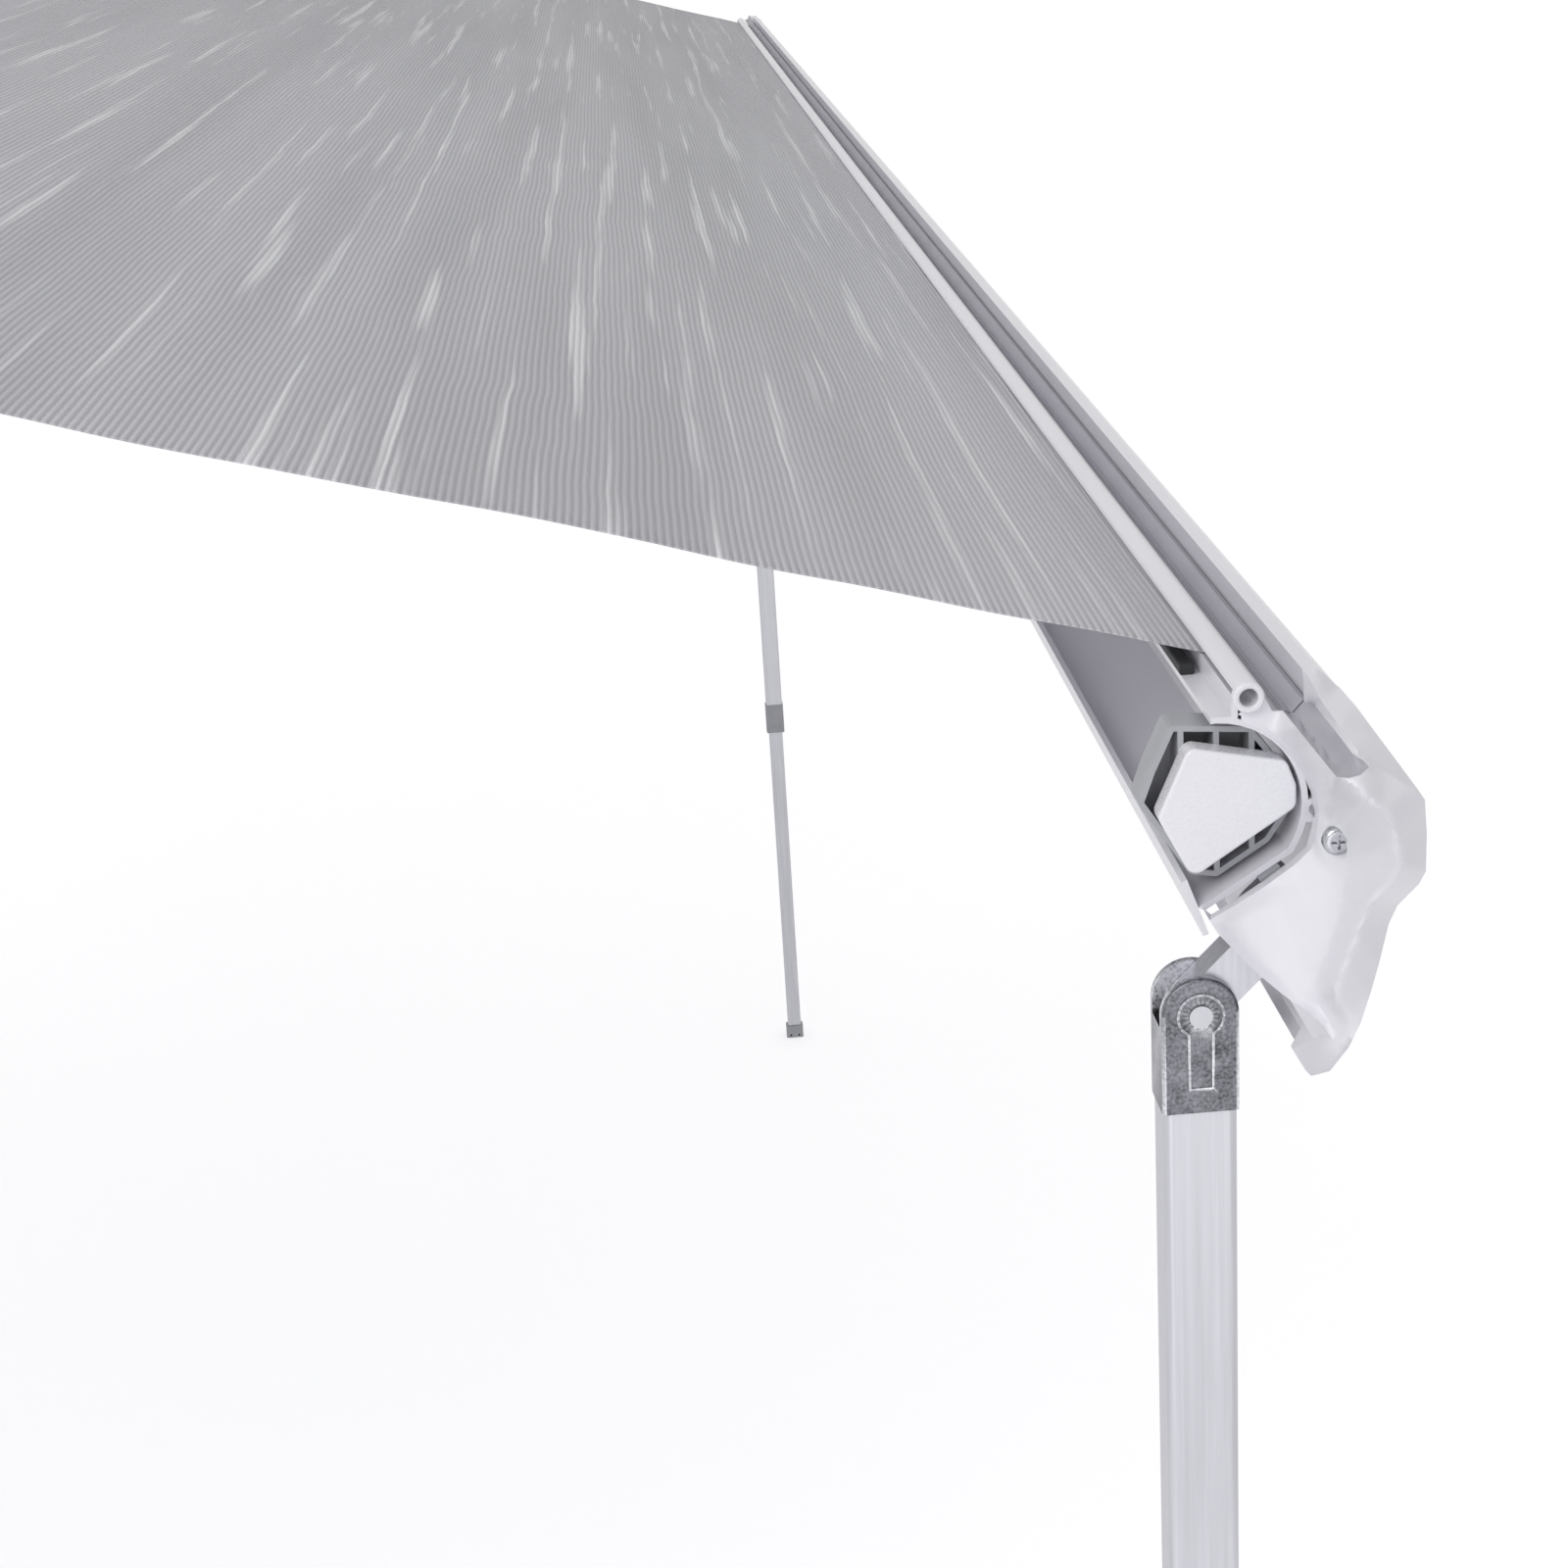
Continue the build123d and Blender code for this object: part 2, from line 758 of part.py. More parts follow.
guide_shares = [(-0.42, 0.92), (0.50, 0.84), (0.96, 0.22), (0.98, -0.14), (0.70, -0.56),
                (0.10, -0.94), (-0.22, -0.88), (-0.80, 0.02), (-0.66, 0.40)]
cover_shares = [(-0.27, 0.74), (0.84, 0.50), (0.95, 0.20), (0.95, -0.06), (-0.24, -0.83),
                (-0.63, -0.07)]


def closing_guide():
    """The ribbed moulding that plugs the channel's end."""
    x_low = -rail_half + guide_cover_depth
    x_high = x_low + guide_depth - guide_cover_depth
    shape = rounded(channel_fill(channel_radius - part_gap, guide_shares), guide_bend / 2)
    body = prism(shape, x_low, x_high)
    pocket = offset(shape, amount=-guide_wall)
    body -= prism(pocket, x_low - cut_overrun, x_high - guide_wall)
    for share in (-0.30, 0.10, 0.50):
        rib = Pos(channel_out + channel_radius * share, channel_up) * Rectangle(
            guide_wall, channel_radius * 2)
        body += prism(rib & shape, x_low, x_high)
    return at_ring(body)


def guide_cover():
    """The smooth six-sided cover on the front of the guide."""
    shape = rounded(channel_fill(channel_radius - part_gap, cover_shares), guide_bend)
    body = prism(shape, -rail_half, -rail_half + guide_cover_depth)
    edge = body.faces().sort_by(Axis.X)[0].edges()
    return at_ring(fillet(edge, guide_bend / 4))


def fabric_sheet():
    """The fabric from the roll to the bead channel, without its sag."""
    gap_out = ring_out - roller_out
    gap_up = ring_up - roller_up
    distance = math.hypot(gap_out, gap_up)
    lift = roller_radius + roll_thickness + part_gap + fabric_thickness / 2
    turn = math.atan2(gap_up, gap_out) + math.asin(-lift / distance)
    run = math.sqrt(distance ** 2 - lift ** 2)
    low = bead_radius + part_gap
    sheet = Pos(-(run + low) / 2, 0) * Rectangle(run - low, fabric_thickness)
    sheet = Pos(ring_out, ring_up) * (Rot(0, 0, math.degrees(turn)) * sheet)
    return prism(sheet, -fabric_width / 2, fabric_width / 2)


# Folding arms, drawn on the left

def arm_tube(low, high, across):
    outer = Rectangle(tube_width, tube_height)
    inner = Rectangle(tube_width - 2 * tube_wall, tube_height - 2 * tube_wall)
    shape = fillet(outer.vertices(), tube_corner) - fillet(inner.vertices(),
                                                         tube_corner - tube_wall)
    plane = Plane(origin=(low, across, 0), x_dir=(0, 1, 0), z_dir=(1, 0, 0))
    return extrude(plane * shape, amount=high - low)


def tube_spigot(low, high, across):
    inset = 2 * tube_wall + 2 * press_gap
    body = bar(tube_width - inset, tube_height - inset, low, high, across)
    return fillet(body.edges().filter_by(Axis.X), tube_corner - tube_wall + press_gap)


def neck(start, across, radius, reach):
    """A flat plate that joins a round joint at zero to the tube's own line."""
    half = tube_width / 2
    near = min(start, reach)
    shape = polygon([
        (near, across - half), (reach, across - half), (reach, across + half),
        (near, across + half),
    ])
    return make_hull((Circle(radius) + shape).edges())


def pin_along(radius, low, high, head_radius=0.0, head=0.0):
    body = Pos(0, 0, (low + high) / 2) * Cylinder(radius, high - low)
    if head:
        body += Pos(0, 0, high + head / 2) * Cylinder(head_radius, head)
        body += Pos(0, 0, low - head / 2) * Cylinder(head_radius, head)
    return body


def shoulder_casting():
    half = joint_height / 2
    body = plate(neck(neck_start, 0, joint_radius, block_start), -half, half)
    body += bar(tube_width, tube_height, block_start, block_end)
    body += tube_spigot(block_end, block_end + spigot_length, 0)
    body -= Cylinder(arm_pin_radius + running_clearance, joint_height * 2)
    return upper_plane * body


def elbow_fork():
    """Two ears on the upper arm that hold the elbow pin."""
    inner = joint_height / 2 + part_gap
    body = bar(tube_width, tube_height, neck_start, block_end, -tube_pitch / 2)
    body += tube_spigot(block_end, block_end + spigot_length, -tube_pitch / 2)
    ear = neck(neck_start, -tube_pitch / 2, joint_radius, block_start)
    body += plate(ear, inner, inner + ear_thickness) + plate(ear, -inner - ear_thickness, -inner)
    body -= Cylinder(arm_pin_radius + running_clearance, tube_height * 2)
    flipped = Rot(0, 180, 0) * body
    return upper_plane * (Pos(arm_length, tube_pitch / 2, 0) * flipped)


def elbow_casting():
    half = joint_height / 2
    body = plate(neck(neck_start, tube_pitch / 2, joint_radius, block_start), -half, half)
    body += bar(tube_width, tube_height, block_start, block_end, tube_pitch / 2)
    body += tube_spigot(block_end, block_end + spigot_length, tube_pitch / 2)
    body -= Cylinder(arm_pin_radius + press_gap, joint_height * 2)
    return fore_plane * body


def wrist_fork():
    """Two ears on the forearm, each side of the rail bracket's tongue."""
    inner = tongue_thickness / 2 + part_gap
    ear = neck(neck_start, 0, joint_radius - 1.0, block_start)
    body = bar(tube_width, tube_height, block_start, block_end)
    body += tube_spigot(block_end, block_end + spigot_length, 0)
    body += plate(ear, inner, inner + wrist_ear) + plate(ear, -inner - wrist_ear, -inner)
    body -= Cylinder(arm_pin_radius + press_gap, tube_height * 2)
    flipped = Rot(0, 180, 0) * body
    return fore_plane * (Pos(arm_length, tube_pitch / 2, 0) * flipped)


def forearm_pins():
    """The elbow pin and the wrist pin, both fast in the forearm."""
    elbow_half = joint_height / 2 + part_gap + ear_thickness + part_gap
    wrist_half = tongue_thickness / 2 + part_gap + wrist_ear
    elbow_pin = pin_along(arm_pin_radius, -elbow_half, elbow_half, pin_head_radius, pin_head)
    wrist_pin = pin_along(arm_pin_radius, -wrist_half, wrist_half, pin_head_radius, pin_head)
    wrist_pin = Pos(arm_length, tube_pitch / 2, 0) * wrist_pin
    return fore_plane * elbow_pin + fore_plane * wrist_pin


def arm_spring():
    """The tension spring inside the upper arm, with its rod to the elbow."""
    spring = Pos(spring_start + spring_length / 2, 0, 0) * (
        Rot(0, 90, 0) * Cylinder(spring_radius, spring_length))
    rod_end = arm_length - block_end - spigot_length
    rod_low = block_end + spigot_length
    rod = Pos((rod_low + rod_end) / 2, 0, 0) * (
        Rot(0, 90, 0) * Cylinder(rod_radius, rod_end - rod_low))
    return upper_plane * (spring + rod)


def upper_arm_tube():
    return upper_plane * arm_tube(block_end, arm_length - block_end, 0)


def forearm_tube():
    return fore_plane * arm_tube(block_end, arm_length - block_end, tube_pitch / 2)


def shoulder_bracket():
    """A clevis on the case's back wall that carries the upper arm."""
    inner = joint_height / 2 + part_gap
    wall_face = bracket_plate + case_wall
    reach = shoulder_out - wall_face
    shape = make_hull((Circle(joint_radius) + Pos(0, -reach) * Rectangle(
        bracket_width, joint_radius)).edges())
    ears = plate(shape, inner, inner + ear_thickness)
    ears += plate(shape, -inner - ear_thickness, -inner)
    body = shoulder_plane * ears
    back = Box(shoulder_plate_width, shoulder_plate, shoulder_plate_height)
    body += Pos(-arm_x, -wall_face - shoulder_plate / 2, shoulder_up) * back
    room = plate(Circle(joint_radius + part_gap * 4), -inner, inner)
    body -= shoulder_plane * room
    body -= shoulder_plane * Cylinder(arm_pin_radius + press_gap, tube_height * 2)
    far = reach * 2
    keep = Pos(-arm_x, -wall_face - far, shoulder_up) * Box(far * 8, far * 2, far * 8)
    return body & keep


def shoulder_pins():
    half = joint_height / 2 + part_gap + ear_thickness
    pin = shoulder_plane * pin_along(arm_pin_radius, -half, half, pin_head_radius, pin_head)
    return Compound(children=[pin, pin.mirror(Plane.YZ)])


bracket_shares = [(0.13, -2.90), (0.13, -3.70), (0.28, -3.70), (0.42, -3.40)]
bracket_low_share = 0.04
bracket_high_share = 0.36


def fold_point(slope_share, normal_share):
    """A section point from shares of the arm tube's height, along and across the fold."""
    run, rise = slope_share * tube_height, normal_share * tube_height
    return (run * fall_cos + rise * fall_sin, -run * fall_sin + rise * fall_cos)


def rail_bracket(clearance):
    """The arm's bracket on the rail: a block on the web with a tongue for the fork."""
    half = tongue_thickness / 2
    reach = joint_radius + part_gap * 6
    shape = make_hull((Circle(joint_radius - 1.0) + Pos(0, reach) * Rectangle(
        bracket_width * 0.7, tube_corner)).edges())
    tongue = wrist_plane * plate(shape, -half, half)
    corners = [fold_point(*share) for share in bracket_shares]
    block = polygon(corners + [flange_back(bracket_low_share), flange_back(bracket_high_share)])
    body = at_ring(prism(block, -arm_x - bracket_width / 2, -arm_x + bracket_width / 2))
    body += tongue
    return body - wrist_plane * Cylinder(arm_pin_radius + clearance, tube_height)


def rail_brackets():
    right = rail_bracket(loose_clearance).mirror(Plane.YZ)
    return Compound(children=[rail_bracket(running_clearance), right])


# Legs, drawn on the left

def swivel_stub():
    """The bright bar between the rail's swivel and the knuckle."""
    half = stub_thickness / 2
    eye = Cylinder(swivel_eye_radius, stub_thickness)
    shank = Pos(0, -stub_reach / 2, 0) * Box(stub_width, stub_reach, stub_thickness)
    tip = Pos(0, -stub_reach, 0) * (Rot(0, 90, 0) * Cylinder(half, stub_width))
    body = eye + shank + tip
    body -= Cylinder(swivel_pin_radius + running_clearance, stub_thickness * 2)
    cross = Rot(0, 90, 0) * Cylinder(knuckle_pin_radius + running_clearance, stub_width * 2)
    body -= Pos(0, -stub_reach, 0) * cross
    return stub_frame() * body


def stub_frame():
    """Local Y runs from the knuckle up the stub, local Z along the swivel pin."""
    x_dir = stub_dir.cross(swivel_dir)
    return Plane(origin=pivot, x_dir=x_dir, z_dir=swivel_dir)


def shelf_under(share):
    """A point under the rail's shelf, its share of the way from the lip to the channel."""
    lip, root = Vector(lip_out, lip_up), Vector(*channel_point(shelf_turn))
    run = root - lip
    point = lip + run * share - run.normalized().rotate(Axis.Z, 90) * (rail_wall + press_gap)
    return (point.X, point.Y)


def carrier_point(reach, side):
    """A section point at a reach up the stub and to one side of it."""
    turn = (math.cos(stub_rad), math.sin(stub_rad))
    return (pivot_out + reach * turn[0] - side * turn[1], pivot_up + reach * turn[1] + side * turn[0])


carrier_shelf_shares = (0.62, 0.84)


def leg_carrier():
    """The fixed bracket in the rail's end whose ears hold the swivel pin."""
    inner = stub_thickness / 2 + part_gap
    ear_face = Circle(carrier_ear_radius) + Pos(0, carrier_ear_radius / 2) * Rectangle(
        carrier_width, carrier_ear_radius)
    ears = plate(ear_face, inner, inner + carrier_ear)
    ears += plate(ear_face, -inner - carrier_ear, -inner)
    base = Pos(0, carrier_ear_radius + carrier_base / 2, 0) * Box(
        carrier_width, carrier_base, 2 * (inner + carrier_ear))
    low_reach, high_reach = carrier_ear_radius / 2, carrier_ear_radius + carrier_base
    side = inner + carrier_ear / 2
    lug = polygon([carrier_point(low_reach, side), carrier_point(high_reach, side),
                   *[shelf_under(share) for share in reversed(carrier_shelf_shares)]])
    lug = prism(lug, -leg_x - carrier_width / 2, -leg_x + carrier_width / 2)
    body = stub_frame() * (ears + base) + at_ring(lug)
    return body - stub_frame() * Cylinder(swivel_pin_radius + press_gap, stub_thickness * 4)


def swivel_pins():
    half = stub_thickness / 2 + part_gap + carrier_ear
    pin = stub_frame() * pin_along(swivel_pin_radius, -half + part_gap, half - part_gap)
    return Compound(children=[pin, pin.mirror(Plane.YZ)])


knuckle_rib_share = 0.55


def knuckle():
    """The die-cast knuckle: round head, raised keyhole rib and a plug for the leg."""
    half = knuckle_width / 2
    side = Circle(knuckle_radius) + Pos(0, -knuckle_length / 2) * Rectangle(
        knuckle_width, knuckle_length)
    plane = Plane(origin=knuckle_centre, x_dir=(0, -1, 0), z_dir=(-1, 0, 0))
    body = extrude(plane * side, amount=knuckle_thickness / 2, both=True)
    body = fillet(body.edges().filter_by(Axis.Z), tube_corner / 2)
    slot_face = Circle(knuckle_radius + part_gap * 3) + Pos(half, knuckle_radius) * Rectangle(
        knuckle_radius * 4, knuckle_radius * 2)
    slot_face += Pos(0, knuckle_radius) * Rectangle(knuckle_radius * 4, knuckle_radius * 2)
    body -= extrude(plane * slot_face, amount=knuckle_slot / 2, both=True)
    rib = Circle(knuckle_radius * knuckle_rib_share) + Pos(0, -knuckle_radius) * Rectangle(
        knuckle_radius * knuckle_rib_share, knuckle_radius * 2)
    outer = offset(rib, amount=tube_wall / 2)
    raised = extrude(Plane(origin=knuckle_centre - along * (knuckle_thickness / 2),
                           x_dir=(0, -1, 0), z_dir=(-1, 0, 0)) * (outer - rib),
                     amount=tube_wall / 4)
    body += raised
    plug = Box(leg_thickness - 2 * leg_wall - 2 * press_gap,
               leg_width - 2 * leg_wall - 2 * press_gap, knuckle_spigot)
    plug = fillet(plug.edges().filter_by(Axis.Z), leg_corner - leg_wall + press_gap)
    low = knuckle_centre.Z - knuckle_length - knuckle_spigot / 2
    body += Pos(knuckle_centre.X, knuckle_centre.Y, low) * plug
    cross = Rot(0, 90, 0) * Cylinder(knuckle_pin_radius + press_gap, knuckle_thickness * 2)
    return body - Pos(*knuckle_centre) * cross


def knuckle_pin():
    half = knuckle_thickness / 2 + tube_wall / 4
    pin = pin_along(knuckle_pin_radius, -half, half, knuckle_pin_head, tube_wall / 4)
    return Pos(*knuckle_centre) * (Rot(0, 90, 0) * pin)


def leg_section(width, depth, wall, corner):
    outer = fillet(Rectangle(depth, width).vertices(), corner)
    inner = fillet(Rectangle(depth - 2 * wall, width - 2 * wall).vertices(), corner - wall)
    return outer - inner


leg_top = knuckle_centre.Z - knuckle_length
leg_bottom = leg_top - leg_length
leg_x_place = knuckle_centre.X
leg_y_place = knuckle_centre.Y
inner_width = leg_width - 2 * leg_wall - 2 * inner_gap
inner_depth = leg_thickness - 2 * leg_wall - 2 * inner_gap
inner_bottom = leg_bottom - inner_shown


def leg_outer_tube():
    shape = leg_section(leg_width, leg_thickness, leg_wall, leg_corner)
    return Pos(leg_x_place, leg_y_place, leg_bottom) * extrude(shape, amount=leg_length)


def leg_inner_tube():
    shape = leg_section(inner_width, inner_depth, inner_wall, leg_corner - leg_wall / 2)
    return Pos(leg_x_place, leg_y_place, inner_bottom) * extrude(shape, amount=inner_length)


def leg_collar():
    """The moulded collar at the outer tube's end, with ears for the clamp lever."""
    wall = collar_wall
    outer = Rectangle(leg_thickness + 2 * wall, leg_width + 2 * wall)
    inner = Rectangle(leg_thickness + 2 * press_gap, leg_width + 2 * press_gap)
    shape = fillet(outer.vertices(), leg_corner) - inner
    body = extrude(shape, amount=collar_length)
    cap_shape = fillet(outer.vertices(), leg_corner) - Rectangle(
        inner_depth + inner_gap, inner_width + inner_gap)
    body += Pos(0, 0, -collar_wall * 2) * extrude(cap_shape, amount=collar_wall * 2 - press_gap)
    body += extrude(fillet(outer.vertices(), leg_corner) - Rectangle(
        leg_thickness + 2 * press_gap, leg_width + 2 * press_gap), amount=-press_gap)
    face = -leg_thickness / 2 - wall
    for side in (-1, 1):
        ear = Box(lever_reach, lever_ear, lever_pin_radius * 4)
        place = side * (lever_width / 2 + part_gap + lever_ear / 2)
        body += Pos(face + collar_wall / 2 - lever_reach / 2, place,
                    collar_length - lever_pin_radius * 3) * ear
    hole = Rot(90, 0, 0) * Cylinder(lever_pin_radius + press_gap, leg_width * 2)
    body -= Pos(face - lever_thickness / 2, 0, collar_length - lever_pin_radius * 3) * hole
    return Pos(leg_x_place, leg_y_place, leg_bottom) * body


def clamp_lever():
    """The lever that clamps the inner tube, hinged at its top."""
    face = -leg_thickness / 2 - collar_wall - part_gap
    centre = face + part_gap - lever_thickness / 2
    height = collar_length - lever_pin_radius * 3
    blade = Box(lever_thickness, lever_width, lever_length)
    blade = Pos(face - lever_thickness / 2, 0, height - lever_length / 2) * blade
    pin_width = lever_width + 2 * part_gap + 2 * lever_ear
    pin = Rot(90, 0, 0) * Cylinder(lever_pin_radius - running_clearance, pin_width)
    body = blade + Pos(centre, 0, height) * pin
    return Pos(leg_x_place, leg_y_place, leg_bottom) * body


def foot():
    """The foot on the inner tube, with two holes for ground pegs."""
    body = Pos(0, 0, foot_height / 2 - foot_sole) * Box(foot_depth, foot_width, foot_height)
    body = fillet(body.edges().filter_by(Axis.Z), leg_corner)
    socket = Box(inner_depth + 2 * press_gap, inner_width + 2 * press_gap, foot_height)
    body -= Pos(0, 0, foot_height / 2) * socket
    for side in (-1, 1):
        hole = Rot(0, 90, 0) * Cylinder(peg_hole_radius, foot_depth * 2)
        body -= Pos(0, side * peg_hole_spacing / 2, -foot_sole / 2) * hole
    return Pos(leg_x_place, leg_y_place, inner_bottom) * body


def build_all():
    nodes["case_profile"] = case_profile()
    nodes["wall_brackets"] = wall_brackets()
    nodes["clamp_screws"] = clamp_screws()
    nodes["end_plates"] = end_plates()
    nodes["end_cover_right"] = end_cover(True)
    nodes["end_cover_left"] = end_cover(False).mirror(Plane.YZ)
    nodes["cover_screws"] = cover_screws()
    nodes["winch_housing"] = winch_housing()
    nodes["roller_tube"] = roller_tube()
    nodes["roller_plugs"] = roller_plugs()
    nodes["fabric_roll"] = fabric_roll()
    nodes["worm_wheel"] = worm_wheel()
    nodes["winch_worm"] = winch_worm()
    nodes["winch_eye"] = winch_eye()
    nodes["lead_rail"] = lead_rail()
    nodes["bead_rod"] = bead_rod()
    nodes["rail_gasket"] = rail_gasket()
    nodes["cap_screws"] = cap_screws()
    nodes["rail_brackets"] = rail_brackets()
    nodes["swivel_pins"] = swivel_pins()
    nodes["fabric_sheet"] = fabric_sheet()
    nodes["shoulder_pins"] = shoulder_pins()
    both_sides("rail_end_cap", end_cap())
    in_pairs("closing_guides", closing_guide())
    in_pairs("guide_covers", guide_cover())
    in_pairs("leg_carriers", leg_carrier())
    in_pairs("shoulder_brackets", shoulder_bracket())
    both_sides("shoulder_casting", shoulder_casting())
    both_sides("upper_arm_tube", upper_arm_tube())
    both_sides("elbow_fork", elbow_fork())
    both_sides("arm_spring", arm_spring())
    both_sides("elbow_casting", elbow_casting())
    both_sides("forearm_tube", forearm_tube())
    both_sides("wrist_fork", wrist_fork())
    both_sides("forearm_pins", forearm_pins())
    both_sides("swivel_stub", swivel_stub())
    both_sides("knuckle", knuckle())
    both_sides("knuckle_pin", knuckle_pin())
    both_sides("leg_outer_tube", leg_outer_tube())
    both_sides("leg_collar", leg_collar())
    both_sides("clamp_lever", clamp_lever())
    both_sides("leg_inner_tube", leg_inner_tube())
    both_sides("foot", foot())


build_all()
os.makedirs("parts", exist_ok=True)
for name, piece in nodes.items():
    export_step(piece, "parts/" + name + ".step")
print(len(nodes), "nodes written")
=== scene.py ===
import bmesh
import bpy
import json
import math
from mathutils import Matrix, Vector, noise
from mathutils.geometry import delaunay_2d_cdt


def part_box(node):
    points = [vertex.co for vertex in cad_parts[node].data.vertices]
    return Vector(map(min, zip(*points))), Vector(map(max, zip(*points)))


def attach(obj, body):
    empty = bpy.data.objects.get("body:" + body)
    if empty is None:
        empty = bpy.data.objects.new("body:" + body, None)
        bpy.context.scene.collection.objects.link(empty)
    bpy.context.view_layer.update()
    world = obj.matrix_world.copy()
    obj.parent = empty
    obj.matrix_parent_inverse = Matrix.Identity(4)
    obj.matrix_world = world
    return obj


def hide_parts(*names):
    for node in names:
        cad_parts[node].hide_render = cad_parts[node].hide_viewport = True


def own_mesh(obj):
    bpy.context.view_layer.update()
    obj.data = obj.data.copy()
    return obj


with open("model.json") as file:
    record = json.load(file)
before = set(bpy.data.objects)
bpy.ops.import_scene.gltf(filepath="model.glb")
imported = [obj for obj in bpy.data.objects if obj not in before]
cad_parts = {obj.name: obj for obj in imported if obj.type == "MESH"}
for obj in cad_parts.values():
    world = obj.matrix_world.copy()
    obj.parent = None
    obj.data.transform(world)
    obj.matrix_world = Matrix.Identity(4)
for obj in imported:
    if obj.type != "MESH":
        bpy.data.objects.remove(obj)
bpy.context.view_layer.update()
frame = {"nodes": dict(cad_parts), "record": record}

# Sizes in metres, in the row's frame. A section across the awning is (out, up).
MM = 0.001
FALL = math.radians(17.0)
SLOPE = Vector((0.0, -math.cos(FALL), -math.sin(FALL)))
RING_OUT, RING_UP = 2.223490, -0.617165
ROLLER_OUT = 0.062
ROLL_RADIUS = 0.0255
RAIL_HALF = 1.750
FABRIC_HALF = 1.700
GROUND = -2.342165

# The camera, set where the photograph was taken from
CAMERA_RIGHT = Vector((-0.0643, -0.9962, -0.0598)).normalized()
CAMERA_ABOVE = CAMERA_RIGHT.cross(Vector((0.9418, -0.0408, -0.3338))).normalized()
CAMERA_AHEAD = CAMERA_ABOVE.cross(CAMERA_RIGHT).normalized()
CAMERA_SPOT = Vector((-RAIL_HALF - 0.8693, -(RING_OUT - 0.197), RING_UP + 0.2894))
CAMERA_LENS = 62.3
FRAME_PIXELS = 1600
FOCAL_PIXELS = CAMERA_LENS / 36.0 * FRAME_PIXELS


# Colours and nodes

def colour(code):
    """Turns an sRGB hex code into the linear colour that the nodes take."""
    parts = [int(code[i:i + 2], 16) / 255 for i in (1, 3, 5)]
    return tuple(c / 12.92 if c <= 0.04045 else ((c + 0.055) / 1.055) ** 2.4 for c in parts) + (1,)


def add(tree, kind, inputs=None, **settings):
    """Adds one node, sets its settings and fills or links its inputs."""
    node = tree.nodes.new(kind)
    for name, value in settings.items():
        setattr(node, name, value)
    for key, value in (inputs or {}).items():
        socket = node.inputs[key]
        if isinstance(value, bpy.types.NodeSocket):
            tree.links.new(value, socket)
        else:
            socket.default_value = value
    return node


def start_material(name, rough, metal):
    material = bpy.data.materials.new(name)
    material.use_nodes = True
    tree = material.node_tree
    shader = tree.nodes["Principled BSDF"]
    shader.inputs["Roughness"].default_value = rough
    shader.inputs["Metallic"].default_value = metal
    place = add(tree, "ShaderNodeTexCoord").outputs["Object"]
    return material, tree, shader, place


def surface(name, dark, light, rough, metal, grain, relief, drift=60.0, spread=0.04,
            stretch=(1, 1, 1), worn=None, coat=0.0, speck=0.12):
    """A hard surface: a slow drift of tone, a fine grain, and bright worn edges on metal.

    grain, relief and drift are real sizes in millimetres: the width of one grain, how far it
    stands out, and how far apart the paler and darker areas lie.
    """
    material, tree, shader, place = start_material(name, rough, metal)
    slow = add(tree, "ShaderNodeTexNoise", {"Vector": place, "Scale": 1 / (drift * MM),
                                            "Detail": 3.0}).outputs["Fac"]
    drawn = add(tree, "ShaderNodeMapping", {"Vector": place, "Scale": stretch}).outputs[0]
    fine = add(tree, "ShaderNodeTexNoise", {"Vector": drawn, "Scale": 1 / (grain * MM),
                                            "Detail": 2.0}).outputs["Fac"]
    tone = add(tree, "ShaderNodeMix", {0: speck, 2: slow, 3: fine}).outputs[0]
    tone = add(tree, "ShaderNodeMapRange", {"Value": tone, "From Min": 0.35,
                                            "From Max": 0.65}).outputs[0]
    base = add(tree, "ShaderNodeMix", {0: tone, 6: colour(dark), 7: colour(light)},
               data_type="RGBA").outputs[2]
    if worn:
        bend = add(tree, "ShaderNodeNewGeometry").outputs["Pointiness"]
        edge = add(tree, "ShaderNodeMapRange", {"Value": bend, "From Min": 0.52,
                                                "From Max": 0.60}).outputs[0]
        edge = add(tree, "ShaderNodeMath", {0: edge, 1: fine}, operation="MULTIPLY").outputs[0]
        edge = add(tree, "ShaderNodeMath", {0: edge, 1: 1.8}, operation="MULTIPLY",
                   use_clamp=True).outputs[0]
        base = add(tree, "ShaderNodeMix", {0: edge, 6: base, 7: colour(worn)},
                   data_type="RGBA").outputs[2]
    tree.links.new(base, shader.inputs["Base Color"])
    gloss = add(tree, "ShaderNodeMapRange", {"Value": fine, "From Min": 0.3, "From Max": 0.7,
                                             "To Min": rough - spread, "To Max": rough + spread})
    tree.links.new(gloss.outputs[0], shader.inputs["Roughness"])
    bump = add(tree, "ShaderNodeBump", {"Height": fine, "Strength": 1.0,
                                        "Distance": relief * MM})
    tree.links.new(bump.outputs[0], shader.inputs["Normal"])
    shader.inputs["Coat Weight"].default_value = coat
    return material


